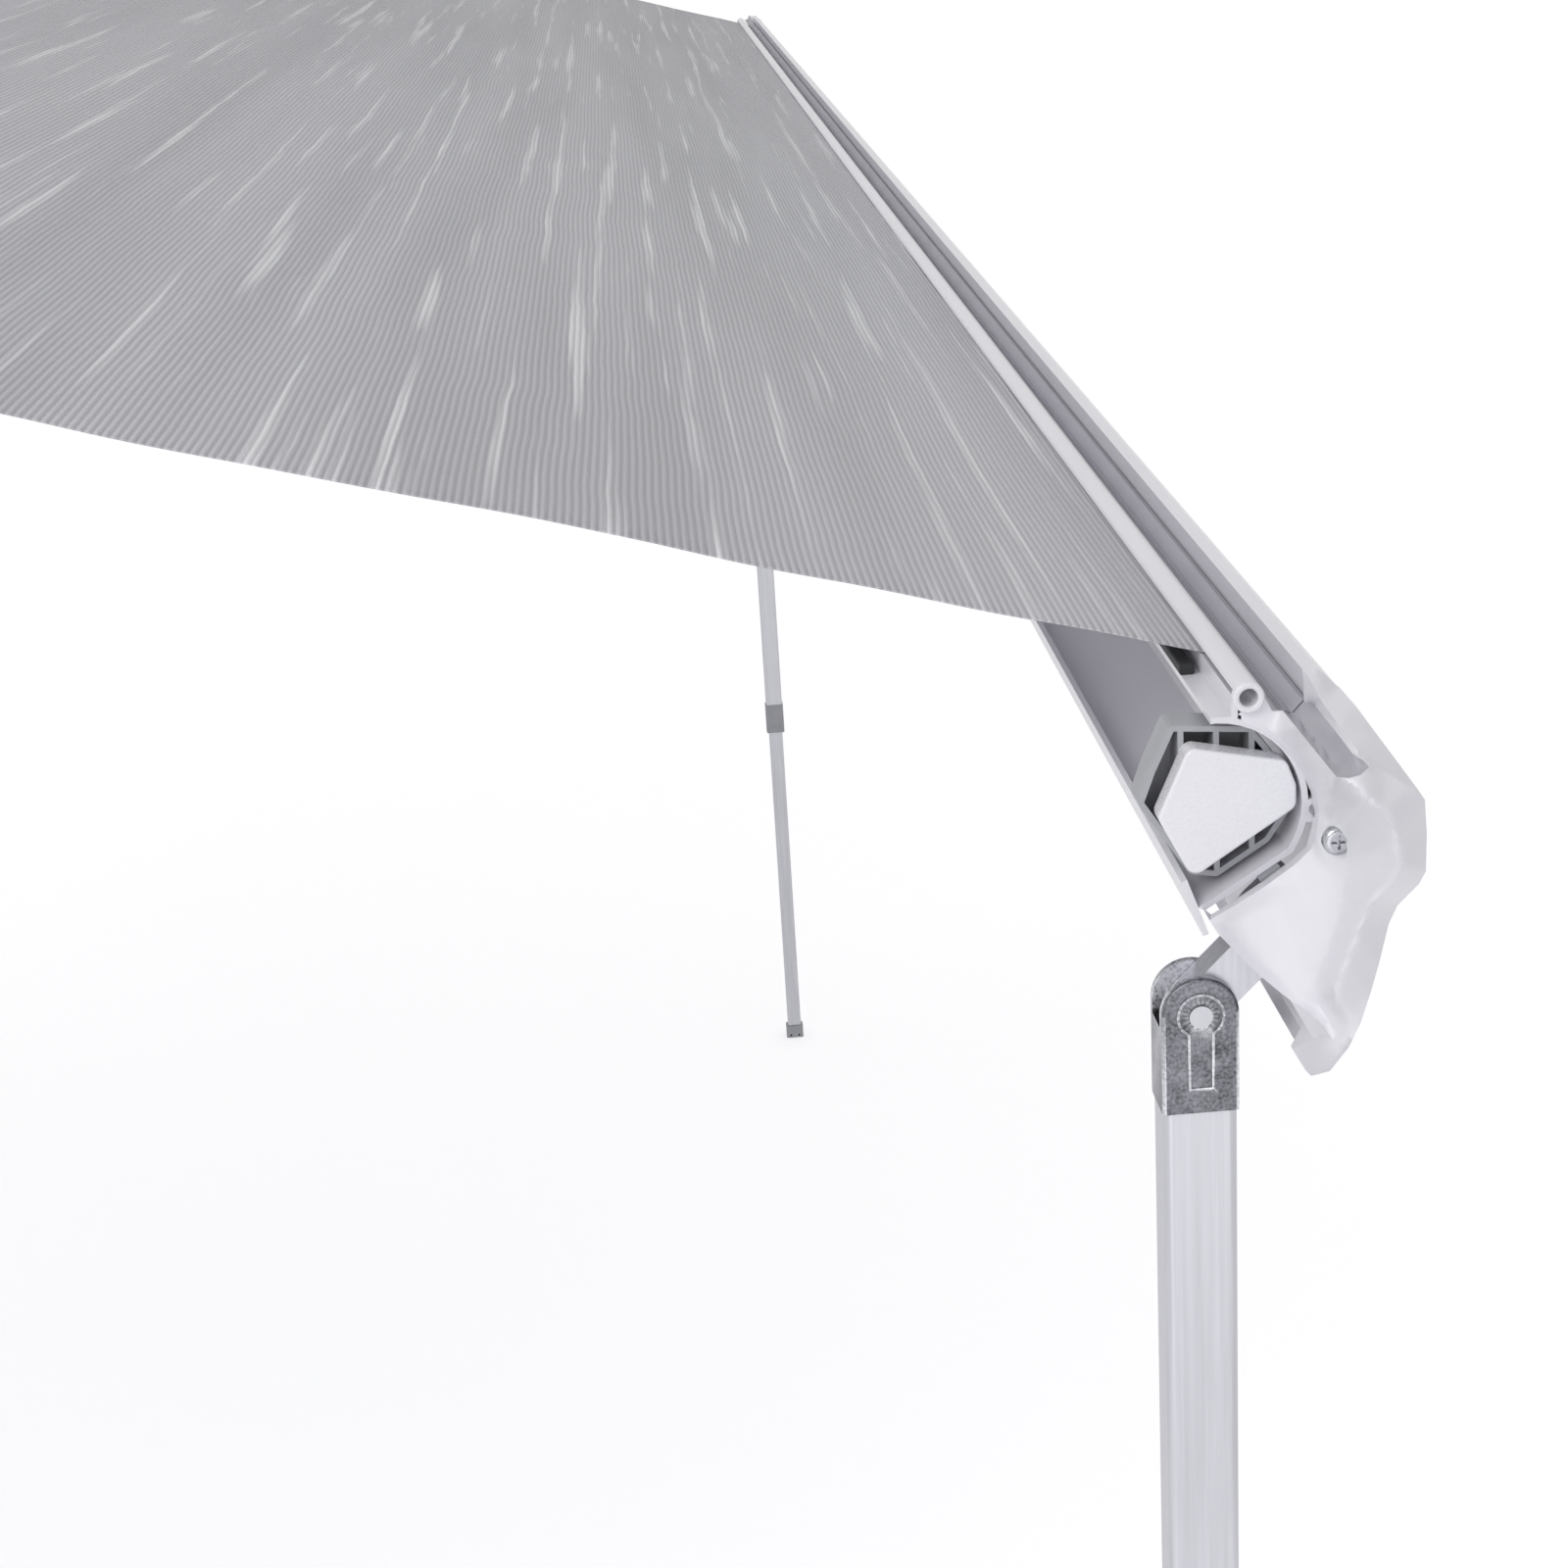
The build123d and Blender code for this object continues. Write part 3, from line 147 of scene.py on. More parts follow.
def ribbed_cloth(name, direction, pitch):
    """Acrylic awning cloth, woven with ribs that run along X, pitch metres apart.

    To the eye it is a matt grey with a few long pale streaks along X, and fine dark lines between
    the ribs, which are painted shade in the valleys between them.
    """
    material, tree, shader, place = start_material(name, 0.74, 0.0)
    down = add(tree, "ShaderNodeVectorMath", {0: place, 1: tuple(direction)},
               operation="DOT_PRODUCT").outputs["Value"]
    along = add(tree, "ShaderNodeSeparateXYZ", {0: place}).outputs[0]
    drift = add(tree, "ShaderNodeTexNoise", {"Vector": place, "Scale": 1 / (140 * MM),
                                             "Detail": 2.0}).outputs["Fac"]
    down = add(tree, "ShaderNodeMath", {0: drift, 1: 4 * MM, 2: down},
               operation="MULTIPLY_ADD").outputs[0]
    turns = add(tree, "ShaderNodeMath", {0: down, 1: 2 * math.pi / pitch},
                operation="MULTIPLY").outputs[0]
    rib = add(tree, "ShaderNodeMath", {0: turns}, operation="SINE").outputs[0]
    # A streak is about 500 mm long and 10 mm wide, and the broad bands are 1.2 m by 60 mm
    across = add(tree, "ShaderNodeMath", {0: down, 1: 500 / 10}, operation="MULTIPLY").outputs[0]
    spot = add(tree, "ShaderNodeCombineXYZ", {0: along, 1: across}).outputs[0]
    streak = add(tree, "ShaderNodeTexNoise", {"Vector": spot, "Scale": 1 / (500 * MM),
                                              "Detail": 3.0}).outputs["Fac"]
    pale = add(tree, "ShaderNodeMapRange", {"Value": streak, "From Min": 0.57,
                                            "From Max": 0.68}).outputs[0]
    across = add(tree, "ShaderNodeMath", {0: down, 1: 20.0}, operation="MULTIPLY").outputs[0]
    spot = add(tree, "ShaderNodeCombineXYZ", {0: along, 1: across}).outputs[0]
    band = add(tree, "ShaderNodeTexNoise", {"Vector": spot, "Scale": 1 / 1.2,
                                            "Detail": 3.0}).outputs["Fac"]
    band = add(tree, "ShaderNodeMapRange", {"Value": band, "From Min": 0.35,
                                            "From Max": 0.65}).outputs[0]
    base = add(tree, "ShaderNodeMix", {0: band, 6: colour("#B9B9BE"), 7: colour("#C6C6CB")},
               data_type="RGBA").outputs[2]
    base = add(tree, "ShaderNodeMix", {0: pale, 6: base, 7: colour("#E4E4E8")},
               data_type="RGBA").outputs[2]
    # Painted shade: the cloth darkens towards #7E7E84 in the valleys between the ribs
    groove = add(tree, "ShaderNodeMapRange", {"Value": rib, "From Min": -1.0, "From Max": -0.3,
                                              "To Min": 0.42, "To Max": 0.0}).outputs[0]
    base = add(tree, "ShaderNodeMix", {0: groove, 6: base, 7: colour("#7E7E84")},
               data_type="RGBA").outputs[2]
    tree.links.new(base, shader.inputs["Base Color"])
    # The yarns are 0.5 mm wide, drawn as 1 mm, since finer ones don't show in the render
    weave = add(tree, "ShaderNodeTexNoise", {"Vector": place, "Scale": 1 / (1.0 * MM),
                                             "Detail": 2.0}).outputs["Fac"]
    height = add(tree, "ShaderNodeMath", {0: rib, 1: 0.7, 2: weave},
                 operation="MULTIPLY_ADD").outputs[0]
    bump = add(tree, "ShaderNodeBump", {"Height": height, "Strength": 1.0,
                                        "Distance": 0.3 * MM})
    tree.links.new(bump.outputs[0], shader.inputs["Normal"])
    gloss = add(tree, "ShaderNodeMapRange", {"Value": weave, "From Min": 0.3, "From Max": 0.7,
                                             "To Min": 0.66, "To Max": 0.82})
    tree.links.new(gloss.outputs[0], shader.inputs["Roughness"])
    shader.inputs["Sheen Weight"].default_value = 0.1
    return material


# Polyester powder on extruded aluminium: a soft gloss with a faint orange peel
POWDER = surface("powder_coated_aluminium", "#DEDDE3", "#E2E1E7", 0.34, 0.0, 2.5, 0.010,
                 drift=250.0, coat=0.15)
# Injection moulded acrylic plastic, from a satin mould: even, a little duller than the powder
CAP_PLASTIC = surface("moulded_cap_plastic", "#E0DFE5", "#E4E3E9", 0.38, 0.0, 0.9, 0.012,
                      drift=40.0)
# A darker grey copy of the cap plastic, used on the groove floor of the caps and the rail: painted
# shade for the recess
GROOVE_PAINTED_SHADE = surface("groove_plastic_painted_shade", "#A5A3AC", "#ABA9B2", 0.45, 0.0, 0.9, 0.015,
                         drift=30.0)
# Polished plastic moulding: the glossiest white one
COVER_PLASTIC = surface("polished_cover_plastic", "#E4E4E9", "#E8E8ED", 0.28, 0.0, 1.2, 0.008,
                        coat=0.2)
# Glass-filled nylon: matt grey, with a fine spark-eroded grain
NYLON = surface("glass_filled_nylon", "#A4A5AA", "#AFB0B5", 0.50, 0.0, 0.8, 0.03, drift=25.0)
BLACK_NYLON = surface("black_glass_filled_nylon", "#2C2D30", "#38393C", 0.46, 0.0, 0.8, 0.03,
                      drift=25.0, worn="#5A5B5F")
# EPDM rubber, extruded: dull black with no shine
RUBBER = surface("extruded_rubber", "#232427", "#2D2E31", 0.70, 0.0, 1.2, 0.05, drift=40.0)
# Mill-finish aluminium: die lines along the extrusion, drawn 1.5 mm apart, not 0.2
MILL = surface("mill_finish_aluminium", "#B0B2B7", "#C0C2C7", 0.38, 1.0, 1.5, 0.006,
               stretch=(0.04, 1, 1), speck=0.6)
# Satin anodised aluminium: faint lines down the tube, drawn 2 mm apart
ANODISED = surface("satin_anodised_aluminium", "#B6B6BC", "#C4C4CA", 0.34, 0.85, 2.0, 0.004,
                   drift=400.0, stretch=(1, 1, 0.02), speck=0.7)
# Tumbled zinc die casting: blotchy dark grey skin, edges rubbed bright
CAST = surface("tumbled_zinc_casting", "#47474D", "#8E8E95", 0.40, 0.80, 1.3, 0.10,
               drift=9.0, spread=0.10, worn="#E8E9EE", speck=0.55)
# Zinc plated steel: bright and smooth
PLATED = surface("zinc_plated_steel", "#A6A7AC", "#B8B9BE", 0.26, 1.0, 1.5, 0.005)
CLOTH = ribbed_cloth("ribbed_awning_cloth", SLOPE, 3.0 * MM)
WOUND_CLOTH = ribbed_cloth("wound_awning_cloth", Vector((0, 0, 1)), 3.0 * MM)

by_slot = {
    "white_aluminium": POWDER, "white_moulding": CAP_PLASTIC, "white_enamel": COVER_PLASTIC,
    "grey_moulding": NYLON, "dark_moulding": BLACK_NYLON, "awning_fabric": WOUND_CLOTH,
    "soft_rubber": RUBBER, "mill_aluminium": MILL, "satin_aluminium": ANODISED,
    "cast_grey": CAST, "steel": PLATED,
}
for part in frame["record"]["subparts"]:
    owner = frame["nodes"][part["node"]]
    for holder in owner.material_slots:
        holder.material = by_slot[part["material_slot"]]


# Mesh helpers

def at(x, out, up):
    """A point of the rail's section, about the ring, in the row's frame."""
    return Vector((x, -(RING_OUT + out * MM), RING_UP + up * MM))


def make_object(name, points, faces, material, body, smooth_angle=30.0):
    mesh = bpy.data.meshes.new(name)
    mesh.from_pydata([tuple(p) for p in points], [], faces)
    mesh.validate()
    mesh.materials.append(material)
    obj = bpy.data.objects.new(name, mesh)
    bpy.context.scene.collection.objects.link(obj)
    for polygon in mesh.polygons:
        polygon.use_smooth = True
    mesh.set_sharp_from_angle(angle=math.radians(smooth_angle))
    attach(obj, body)
    return obj


# The fabric sheet, with small waves that die out towards the roller

CLOTH_THICK = 0.7 * MM
HELD_IN_RING = 3.2 * MM                 # of the cloth's edge, inside the bead channel
SHEET_SAG = 10 * MM
WAVE_START = 50 * MM                    # from the ring, where the waves are full
WAVES = ((2.2, 14.0, 1.7, 1.6 * MM), (6.0, 5.0, 8.1, 1.0 * MM))   # waves a metre, seed, height
SHEET_GRID = (200, 160)


def build_sheet():
    gap_out, gap_up = RING_OUT - ROLLER_OUT, RING_UP
    distance = math.hypot(gap_out, gap_up)
    lift = ROLL_RADIUS + CLOTH_THICK
    turn = math.atan2(gap_up, gap_out) + math.asin(-lift / distance)
    run = math.sqrt(distance ** 2 - lift ** 2)
    line = Vector((0, -math.cos(turn), math.sin(turn)))
    rise = Vector((0, math.sin(turn), math.cos(turn)))
    end = Vector((0, -RING_OUT, RING_UP))
    across, along = SHEET_GRID
    points, faces = [], []
    for j in range(along + 1):
        share = (j / along) ** 1.5
        back = HELD_IN_RING + (run - HELD_IN_RING) * share
        for i in range(across + 1):
            x = -FABRIC_HALF + 2 * FABRIC_HALF * i / across
            fade = min(1.0, back / WAVE_START) * max(0.0, 1 - back / run)
            wave = sum(noise.noise(Vector((x * wide, back * deep, seed))) * tall
                       for wide, deep, seed, tall in WAVES)
            sag = -SHEET_SAG * math.sin(math.pi * back / run)
            point = end - line * back + rise * (wave * fade + sag)
            point.x = x
            points.append(point)
    for j in range(along):
        for i in range(across):
            a = j * (across + 1) + i
            faces.append((a, a + across + 1, a + across + 2, a + 1))
    sheet = make_object("awning_sheet", points, faces, CLOTH, "rail", 60.0)
    thick = sheet.modifiers.new("thickness", "SOLIDIFY")
    thick.thickness = CLOTH_THICK
    thick.offset = 0.0
    bpy.context.view_layer.objects.active = sheet
    sheet.select_set(True)
    bpy.ops.object.modifier_apply(modifier=thick.name)
    sheet.select_set(False)
    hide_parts("fabric_sheet")
    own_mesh(sheet)


# The left end cap. Its creases were measured in the photograph, in pixels of a 1600 frame,
# and each point has its distance beyond the rail's end in millimetres.

def seen(u, v, depth):
    """The point of the plane depth beyond the rail's left end that the camera sees at (u, v)."""
    half = FRAME_PIXELS / 2
    ray = (CAMERA_AHEAD + CAMERA_RIGHT * ((u - half) / FOCAL_PIXELS)
           - CAMERA_ABOVE * ((v - half) / FOCAL_PIXELS))
    return CAMERA_SPOT + ray * ((-RAIL_HALF - depth * MM - CAMERA_SPOT.x) / ray.x)


def pixel(out, up, depth):
    """Where a point of the rail's section is seen, with its depth."""
    way = at(-RAIL_HALF - depth * MM, out, up) - CAMERA_SPOT
    far = way.dot(CAMERA_AHEAD)
    half = FRAME_PIXELS / 2
    return (half + FOCAL_PIXELS * way.dot(CAMERA_RIGHT) / far,
            half - FOCAL_PIXELS * way.dot(CAMERA_ABOVE) / far, depth)


CHANNEL_RIM = [(1263, 729, 0), (1284, 737, 1), (1302, 749, 2), (1322, 768, 5), (1335, 787, 10),
               (1343, 806, 16), (1346, 825, 20), (1344, 845, 21), (1338, 866, 18),
               (1322, 882, 15), (1290, 905, 14), (1258, 925, 14), (1234, 939, 14)]
MOUTH_EDGE = [(1243, 953, 16.5), (1279, 990, 18), (1303, 1010, 19), (1317, 1021, 20)]
BLOCK_EDGE = [(1340, 1060, 14), (1319, 1071, 3), (1332, 1092, 9), (1338, 1098, 14)]
FRONT_EDGE = [(1357, 1093, 28), (1376, 1069, 35), (1388, 1045, 37), (1398, 1015, 38),
              (1407, 984, 40), (1417, 943, 42), (1426, 924, 46), (1448, 902, 58),
              (1455, 889, 61), (1456, 850, 66), (1454, 816, 73), (1445, 803, 75),
              (1425, 776, 58), (1404, 748, 40), (1384, 721, 23)]
LEFT_CREST = [pixel(12.2 - 0.0275 * d, -6.2 + 0.049 * d, d) for d in (0, 20, 40, 60, 80)]
LIP_LINE = [pixel(19.4, 8.0, 0), (1349, 716, 16), (1367, 741, 46), (1384, 764, 74)]
FLOOR_RIGHT = [pixel(19.4, -3.4, 0), (1341, 719, 4), (1361, 744, 40), (1381, 770, 77)]
FLOOR_MIDDLE = [pixel(15.2, -7.8, 0), pixel(13.6, -3.6, 72)]
RAIL_END = [pixel(31.0, 0.95, 0), pixel(24.0, 8.0, 0), LIP_LINE[0], FLOOR_RIGHT[0],
            FLOOR_MIDDLE[0], LEFT_CREST[0], pixel(8.6, -6.2, 0), pixel(4.0, -2.5, 0),
            pixel(0.0, -4.0, 0)]
GROOVE_END = [LEFT_CREST[-1], (1376, 794, 82), (1388, 791, 82), (1397, 783, 80),
              (1391, 776, 78), FLOOR_RIGHT[-1]]
RIDGE = [LEFT_CREST[-1], (1373, 799, 84), (1392, 814, 88), (1412, 829, 86), (1424, 854, 81),
         (1429, 883, 75), (1415, 907, 65), (1395, 926, 56), (1383, 953, 51), (1372, 981, 47),
         (1362, 1005, 44), (1361, 1021, 41), (1374, 1036, 38), (1380, 1046, 37)]
PANEL_RIGHT = [(1373, 852, 32), (1375, 893, 31), (1370, 933, 29), (1360, 960, 27),
               (1348, 991, 25), (1346, 1009, 25), (1351, 1018, 27)]
SOFT_LINE = [(1350, 790, 34), (1354, 812, 33), (1357, 832, 31)]
SEAT = [(1342, 858, 24), (1352, 868, 27), (1364, 869, 29), (1373, 862, 31), (1357, 838, 30),
        (1349, 845, 27)]
MOUTH_INNER = [(1243, 942, 14), (1286, 983, 15.5), (1308, 1002, 17), (1322, 1013, 18.5),
               (1338, 1025, 20.5)]
BLOCK_CREASE = [MOUTH_EDGE[-1], (1335, 1032, 23), (1349, 1045, 26), (1367, 1071, 31)]
BLOCK_MIDDLE = [(1349, 1045, 26), (1340, 1060, 14)]
BLOCK_LOW = [(1340, 1060, 14), (1350, 1090, 23), (1367, 1071, 31)]
POCKET_RIGHT = [(1351, 1018, 27), (1374, 1040, 35), (1378, 1050, 35.5), (1367, 1071, 31)]
POCKET_FLOOR = [(1345, 1024, 19.5), (1356, 1042, 25), (1366, 1060, 29.5)]
FACET_EDGE = [LIP_LINE[-1], (1412, 784, 75), (1442, 804, 76)]
PANEL_INSIDE = [(1262, 938, 12.5), (1300, 918, 13.5), (1330, 900, 18), (1358, 893, 24),
                (1350, 930, 23), (1320, 960, 17.5), (1300, 980, 15.8), (1338, 1000, 21)]

# How the cap is filled with triangles, in pixels of the same frame
GRID_STEP, GRID_LEFT, GRID_TOP = 4.0, 1250, 655
GRID_COLUMNS, GRID_ROWS, ROW_SHARE = 53, 115, 0.88
EDGE_GAP, LINE_GAP, ON_LINE, ON_RIM = 2.0, 1.6, 1.0, 0.5
SMOOTH_ROUNDS = 4
CAP_SHARP = 38.0                        # degrees past which an edge of the cap looks sharp
BACK_GAP = 0.1 * MM                     # between the cap's back and the rail's end
WALL_FROM = 0.3                         # millimetres of depth from which the rim has a wall

CAP_LOOP = CHANNEL_RIM + MOUTH_EDGE + BLOCK_EDGE + FRONT_EDGE + RAIL_END
SHARP_LINES = [LEFT_CREST, GROOVE_END, FACET_EDGE, LIP_LINE, FLOOR_RIGHT, BLOCK_CREASE,
               BLOCK_MIDDLE, BLOCK_LOW]
SOFT_LINES = [RIDGE, PANEL_RIGHT, SOFT_LINE, SEAT, MOUTH_INNER, POCKET_RIGHT, POCKET_FLOOR,
              FLOOR_MIDDLE]
GROOVE_LOOP = LEFT_CREST + GROOVE_END[1:] + FLOOR_RIGHT[::-1] + FLOOR_MIDDLE[:1]


def segment_distance(p, a, b):
    ax, ay, bx, by = a[0], a[1], b[0] - a[0], b[1] - a[1]
    length = bx * bx + by * by
    t = 0.0 if length == 0 else max(0.0, min(1.0, ((p[0] - ax) * bx + (p[1] - ay) * by) / length))
    return math.hypot(p[0] - ax - bx * t, p[1] - ay - by * t)


def line_distance(p, line):
    return min(segment_distance(p, a, b) for a, b in zip(line, line[1:]))


def inside(p, loop):
    hit = False
    for i, a in enumerate(loop):
        b = loop[i - 1]
        if (a[1] > p[1]) != (b[1] > p[1]):
            if p[0] < (b[0] - a[0]) * (p[1] - a[1]) / (b[1] - a[1]) + a[0]:
                hit = not hit
    return hit


def resample(line, step):
    """Points along a line at about one step, its corners kept."""
    points = []
    for a, b in zip(line, line[1:]):
        count = max(1, round(math.hypot(b[0] - a[0], b[1] - a[1]) / step))
        points += [tuple(a[i] + (b[i] - a[i]) * k / count for i in range(3)) for k in range(count)]
    return points + [tuple(line[-1])]


def triangulate(loop, lines, spots):
    """Fills a closed loop with triangles that keep its lines. Returns points and triangles."""
    points, edges = [tuple(p) for p in loop], []
    edges += [(i, (i + 1) % len(loop)) for i in range(len(loop))]
    for line in lines:
        first = len(points)
        points += [tuple(p) for p in line]
        edges += [(first + i, first + i + 1) for i in range(len(line) - 1)]
    points += [tuple(p) for p in spots]
    flat, _, faces, origin, _, _ = delaunay_2d_cdt([Vector(p[:2]) for p in points], edges, [],
                                                   1, 1e-3)
    depth = [points[o[0]][2] if o else None for o in origin]
    rim = {}
    for index, sources in enumerate(origin):
        for source in sources:
            rim[source] = index
    return flat, depth, faces, [rim[i] for i in range(len(loop))]


CHANNEL_MIDDLE, RIM_PIXELS = Vector((1270, 830)), 6.0   # the cap's rim laps over the rail's edge
RING_BORE, RING_WALL_OUT, RING_DEEP = 3.25 * MM, 5.5 * MM, 3.0 * MM


def add_ring_end(mesh, side):
    """Adds the closed ring that ends the bead channel."""
    shape = bmesh.new()
    shape.from_mesh(mesh)
    round_off = 0.6 * MM
    start = -side * (RAIL_HALF - 0.5 * MM)
    end = -side * (RAIL_HALF + RING_DEEP)
    soft = end + side * round_off
    section = [(start, RING_BORE), (soft, RING_BORE), (end, RING_BORE + round_off),
               (end, RING_WALL_OUT - round_off), (soft, RING_WALL_OUT), (start, RING_WALL_OUT)]
    points = [shape.verts.new((x, -RING_OUT - r, RING_UP)) for x, r in section]
    edges = [shape.edges.new((points[i - 1], points[i])) for i in range(len(points))]
    bmesh.ops.spin(shape, geom=points + edges, cent=(0, -RING_OUT, RING_UP), axis=(1, 0, 0),
                   angle=2 * math.pi, steps=48, use_merge=True)
    ring = {f for e in edges for f in e.link_faces}
    grown = True
    while grown:
        more = {g for f in ring for e in f.edges for g in e.link_faces} - ring
        grown = bool(more)
        ring |= more
    bmesh.ops.recalc_face_normals(shape, faces=list(ring))
    for face in ring:
        face.smooth = True
    shape.to_mesh(mesh)
    shape.free()
    mesh.set_sharp_from_angle(angle=math.radians(CAP_SHARP))


# Section of the grey strip of painted shade on the groove floor
STRIP_SECTION = [(12.4, -5.95), (15.2, -7.45), (19.25, -3.1), (19.25, -1.6)]
STRIP_THICK = 0.25 * MM


def build_groove_shade_strip():
    """A grey strip laid over the rail's groove floor, from cap to cap: a sheet of painted shade
    where the groove lies in shade.
    """
    shape = bmesh.new()
    points = [shape.verts.new(at(-RAIL_HALF, out, up)) for out, up in STRIP_SECTION]
    edges = [shape.edges.new(pair) for pair in zip(points, points[1:])]
    pulled = bmesh.ops.extrude_edge_only(shape, edges=edges)["geom"]
    bmesh.ops.translate(shape, vec=(2 * RAIL_HALF, 0, 0),
                        verts=[g for g in pulled if isinstance(g, bmesh.types.BMVert)])
    bmesh.ops.recalc_face_normals(shape, faces=shape.faces)
    bmesh.ops.solidify(shape, geom=list(shape.faces), thickness=STRIP_THICK)
    bmesh.ops.recalc_face_normals(shape, faces=shape.faces)
    mesh = bpy.data.meshes.new("groove_shade_strip")
    shape.to_mesh(mesh)
    shape.free()
    mesh.materials.append(GROOVE_PAINTED_SHADE)
    strip = bpy.data.objects.new("groove_shade_strip", mesh)
    bpy.context.scene.collection.objects.link(strip)
    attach(strip, "rail")


def build_wound_cloth():
    """The turns of cloth on the roller, with the layers' edges standing apart at both ends."""
    low, high = (Vector(corner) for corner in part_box("fabric_roll"))
    middle = (low + high) / 2
    outer = (high.z - low.z) / 2
    layer, dip = 0.75 * MM, 0.5 * MM
    count = 6
    section = []
    for k in range(count):
        r = outer - (count - k) * layer
        section += [(low.x + dip, r), (low.x, r + layer * 0.5)]
    section.append((low.x + dip * 0.5, outer))
    whole = section + [(2 * middle.x - x, r) for x, r in reversed(section)]
    shape = bmesh.new()
    points = [shape.verts.new((x, middle.y, middle.z + r)) for x, r in whole]
    edges = [shape.edges.new(pair) for pair in zip(points, points[1:])]
    bmesh.ops.spin(shape, geom=points + edges, cent=middle, axis=(1, 0, 0), angle=2 * math.pi,
                   steps=64, use_merge=True)
    bmesh.ops.recalc_face_normals(shape, faces=shape.faces)
    mesh = bpy.data.meshes.new("wound_cloth")
    shape.to_mesh(mesh)
    shape.free()
    mesh.materials.append(WOUND_CLOTH)
    for polygon in mesh.polygons:
        polygon.use_smooth = True
    mesh.set_sharp_from_angle(angle=math.radians(30))
    roll = bpy.data.objects.new("wound_cloth", mesh)
    bpy.context.scene.collection.objects.link(roll)
    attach(roll, "roller")
    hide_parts("fabric_roll")


def build_caps():
    flat, depth, faces, _ = triangulate(CAP_LOOP, SHARP_LINES + SOFT_LINES, PANEL_INSIDE)
    coarse = [(tuple(flat[i]) + (depth[i] or 0.0,)) for i in range(len(flat))]

    def height(p):
        for face in faces:
            a, b, c = (coarse[i] for i in face[:3])
            area = (b[0] - a[0]) * (c[1] - a[1]) - (c[0] - a[0]) * (b[1] - a[1])
            if abs(area) < 1e-6:
                continue
            s = ((p[0] - a[0]) * (c[1] - a[1]) - (c[0] - a[0]) * (p[1] - a[1])) / area
            t = ((b[0] - a[0]) * (p[1] - a[1]) - (p[0] - a[0]) * (b[1] - a[1])) / area
            if s > -1e-3 and t > -1e-3 and s + t < 1.002:
                return a[2] + s * (b[2] - a[2]) + t * (c[2] - a[2])
        return None

    closed = CAP_LOOP + CAP_LOOP[:1]
    loop = resample(closed, GRID_STEP)[:-1]
    sharp = [resample(line, GRID_STEP) for line in SHARP_LINES]
    soft = [resample(line, GRID_STEP) for line in SOFT_LINES]
    spots = []
    for row in range(GRID_ROWS):
        v = GRID_TOP + row * GRID_STEP * ROW_SHARE
        for column in range(GRID_COLUMNS):
            u = GRID_LEFT + (column + (0.5 if row % 2 else 0.0)) * GRID_STEP
            if not inside((u, v), CAP_LOOP) or line_distance((u, v), closed) <= EDGE_GAP:
                continue
            if any(line_distance((u, v), line) <= LINE_GAP for line in SHARP_LINES + SOFT_LINES):
                continue
            tall = height((u, v))
            if tall is not None:
                spots.append((u, v, tall))
    flat, depth, faces, rim = triangulate(loop, sharp + soft, spots)
    depth = [height(p) or 0.0 if d is None else d for p, d in zip(flat, depth)]
    near = [set() for _ in flat]
    for face in faces:
        for i, a in enumerate(face):
            near[a].update((face[i - 1], face[(i + 1) % len(face)]))
    fixed = set(rim)
    for index, p in enumerate(flat):
        if any(line_distance(p, line) < ON_LINE for line in SHARP_LINES):
            fixed.add(index)
    for _ in range(SMOOTH_ROUNDS):
        depth = [d if i in fixed else 0.5 * d + 0.5 * sum(depth[k] for k in near[i]) / len(near[i])
                 for i, d in enumerate(depth)]
    for side, name in ((1, "left"), (-1, "right")):
        solid = [seen(p[0], p[1], d) for p, d in zip(flat, depth)]
        back = [Vector((-RAIL_HALF - BACK_GAP, solid[i].y, solid[i].z)) for i in rim]
        for k, i in enumerate(rim):
            if line_distance(flat[i], CHANNEL_RIM) < ON_RIM:
                inward = (CHANNEL_MIDDLE - flat[i]).normalized() * RIM_PIXELS
                back[k] = seen(flat[i].x + inward.x, flat[i].y + inward.y, BACK_GAP / MM)
        first = len(solid)
        solid = [Vector((side * p.x, p.y, p.z)) for p in solid + back]
        mesh_faces = [tuple(f) for f in faces]
        centres = [[sum(flat[i][k] for i in f) / len(f) for k in (0, 1)] for f in faces]
        # Faces inside the groove take the darker groove material: painted shade for the groove
        # floor
        slots = [1 if inside(centre, GROOVE_LOOP) else 0 for centre in centres]
        count = len(rim)
        for k in range(count):
            n = (k + 1) % count
            if max(depth[rim[k]], depth[rim[n]]) > WALL_FROM:
                mesh_faces.append((rim[n], rim[k], first + k, first + n))
                slots.append(0)
        if side < 0:
            mesh_faces = [tuple(reversed(f)) for f in mesh_faces]
        cap = make_object("cap_moulding_" + name, solid, mesh_faces, CAP_PLASTIC, "rail",
                          CAP_SHARP)
        cap.data.materials.append(GROOVE_PAINTED_SHADE)
        for polygon, slot in zip(cap.data.polygons, slots):
            polygon.material_index = slot
        add_ring_end(cap.data, side)
        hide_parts("rail_end_cap_" + name)


build_wound_cloth()
build_sheet()
build_groove_shade_strip()
build_caps()


# Floor, light and camera

FLOOR_REACH = 40.0
LAMP_SIZE = 2.4
LAMPS = (("key_light", 66.0, Vector((-2.2, 2.4, 2.6))),
         ("low_light", 18.0, Vector((-3.2, 0.6, -0.6))))   # watts, and place from the rail's end
AIR = 0.58                              # how strongly the surroundings light the object


def seen_directly(tree, amount):
    """amount for what the camera sees itself or in metal and glass, and 0 for other light."""
    path = add(tree, "ShaderNodeLightPath").outputs
    clear = add(tree, "ShaderNodeMath", {0: path["Is Camera Ray"], 1: path["Is Glossy Ray"]},
                operation="MAXIMUM").outputs[0]
    clear = add(tree, "ShaderNodeMath", {0: clear, 1: path["Is Transmission Ray"]},
                operation="MAXIMUM").outputs[0]
    return add(tree, "ShaderNodeMath", {0: clear, 1: amount}, operation="MULTIPLY").outputs[0]


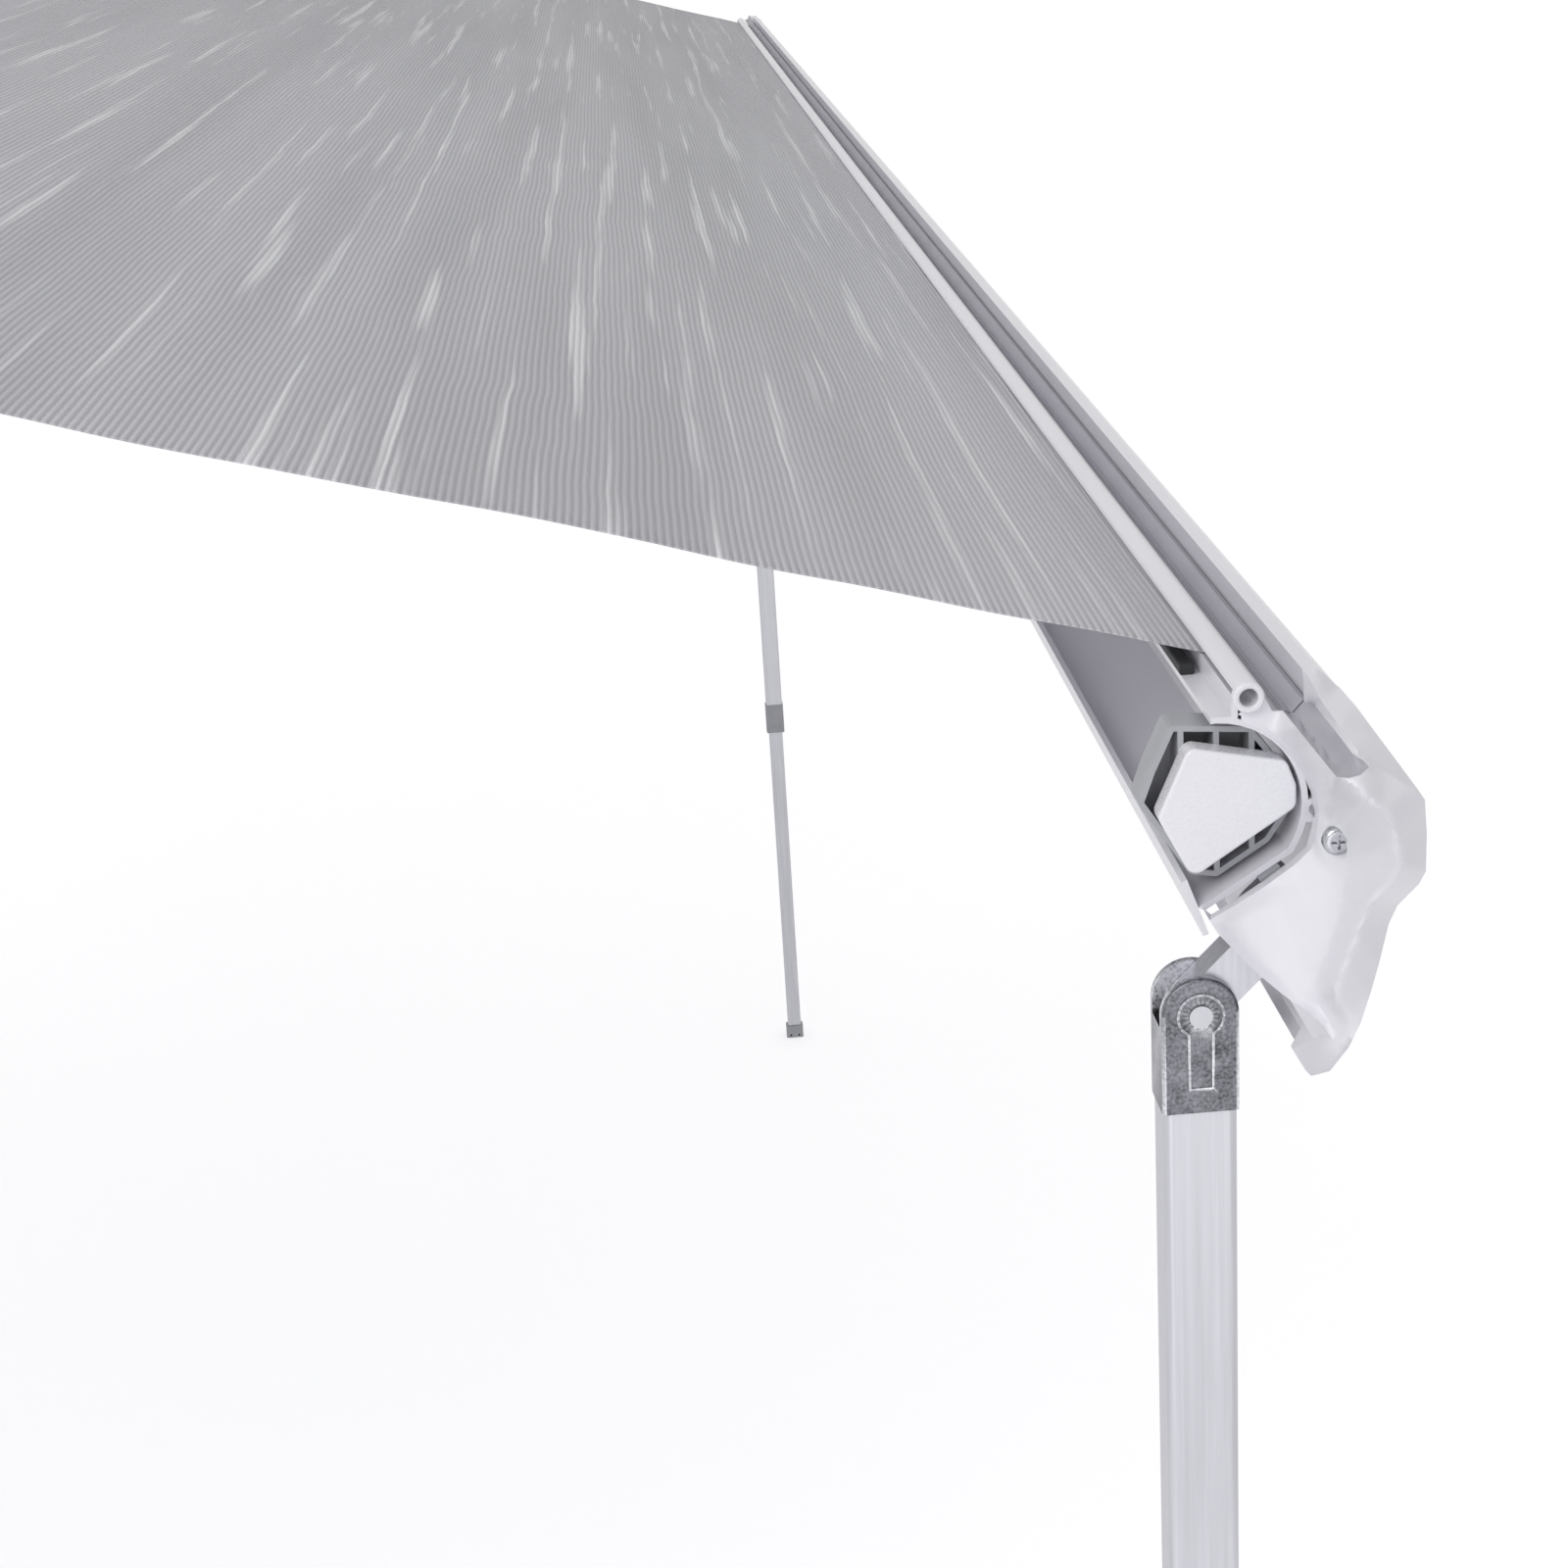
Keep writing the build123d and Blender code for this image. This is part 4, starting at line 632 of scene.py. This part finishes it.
def build_stage():
    mesh = bpy.data.meshes.new("studio_floor")
    mesh.from_pydata([(x * FLOOR_REACH, y * FLOOR_REACH, GROUND)
                      for x, y in ((-1, -1), (1, -1), (1, 1), (-1, 1))], [], [(0, 1, 2, 3)])
    floor = bpy.data.objects.new("studio_floor", mesh)
    bpy.context.scene.collection.objects.link(floor)
    material, tree, shader, place = start_material("floor_paint", 0.9, 0.0)
    tone = add(tree, "ShaderNodeTexNoise", {"Vector": place, "Scale": 0.6}).outputs["Fac"]
    tone = add(tree, "ShaderNodeMix", {0: tone, 6: colour("#F6F6F8"), 7: colour("#FAFAFC")},
               data_type="RGBA").outputs[2]
    tree.links.new(tone, shader.inputs["Base Color"])
    shader.inputs["Emission Color"].default_value = (1, 1, 1, 1)
    tree.links.new(seen_directly(tree, 0.45), shader.inputs["Emission Strength"])
    mesh.materials.append(material)
    world = bpy.data.worlds.new("studio_air")
    world.use_nodes = True
    air = world.node_tree
    background = air.nodes["Background"]
    background.inputs[0].default_value = (1, 1, 1, 1)
    strength = add(air, "ShaderNodeMath", {0: seen_directly(air, 1.0 - AIR), 1: AIR},
                   operation="ADD").outputs[0]
    air.links.new(strength, background.inputs[1])
    bpy.context.scene.world = world
    aim_at = Vector((-RAIL_HALF, -RING_OUT, RING_UP))
    for name, power, way in LAMPS:
        data = bpy.data.lights.new(name, "AREA")
        data.size = LAMP_SIZE
        data.energy = power
        lamp = bpy.data.objects.new(name, data)
        bpy.context.scene.collection.objects.link(lamp)
        lamp.location = aim_at + way
        lamp.rotation_euler = (-way).to_track_quat("-Z", "Y").to_euler()


def build_camera():
    data = bpy.data.cameras.new("photo_camera")
    data.sensor_width = 36.0
    data.lens = CAMERA_LENS
    data.clip_start = 0.01
    data.clip_end = 200.0
    camera = bpy.data.objects.new("photo_camera", data)
    bpy.context.scene.collection.objects.link(camera)
    turn = Matrix((CAMERA_RIGHT, CAMERA_ABOVE, -CAMERA_AHEAD)).transposed().to_4x4()
    camera.matrix_world = Matrix.Translation(CAMERA_SPOT) @ turn
    bpy.context.scene.camera = camera


build_stage()
build_camera()
bpy.context.scene.view_settings.view_transform = "Standard"
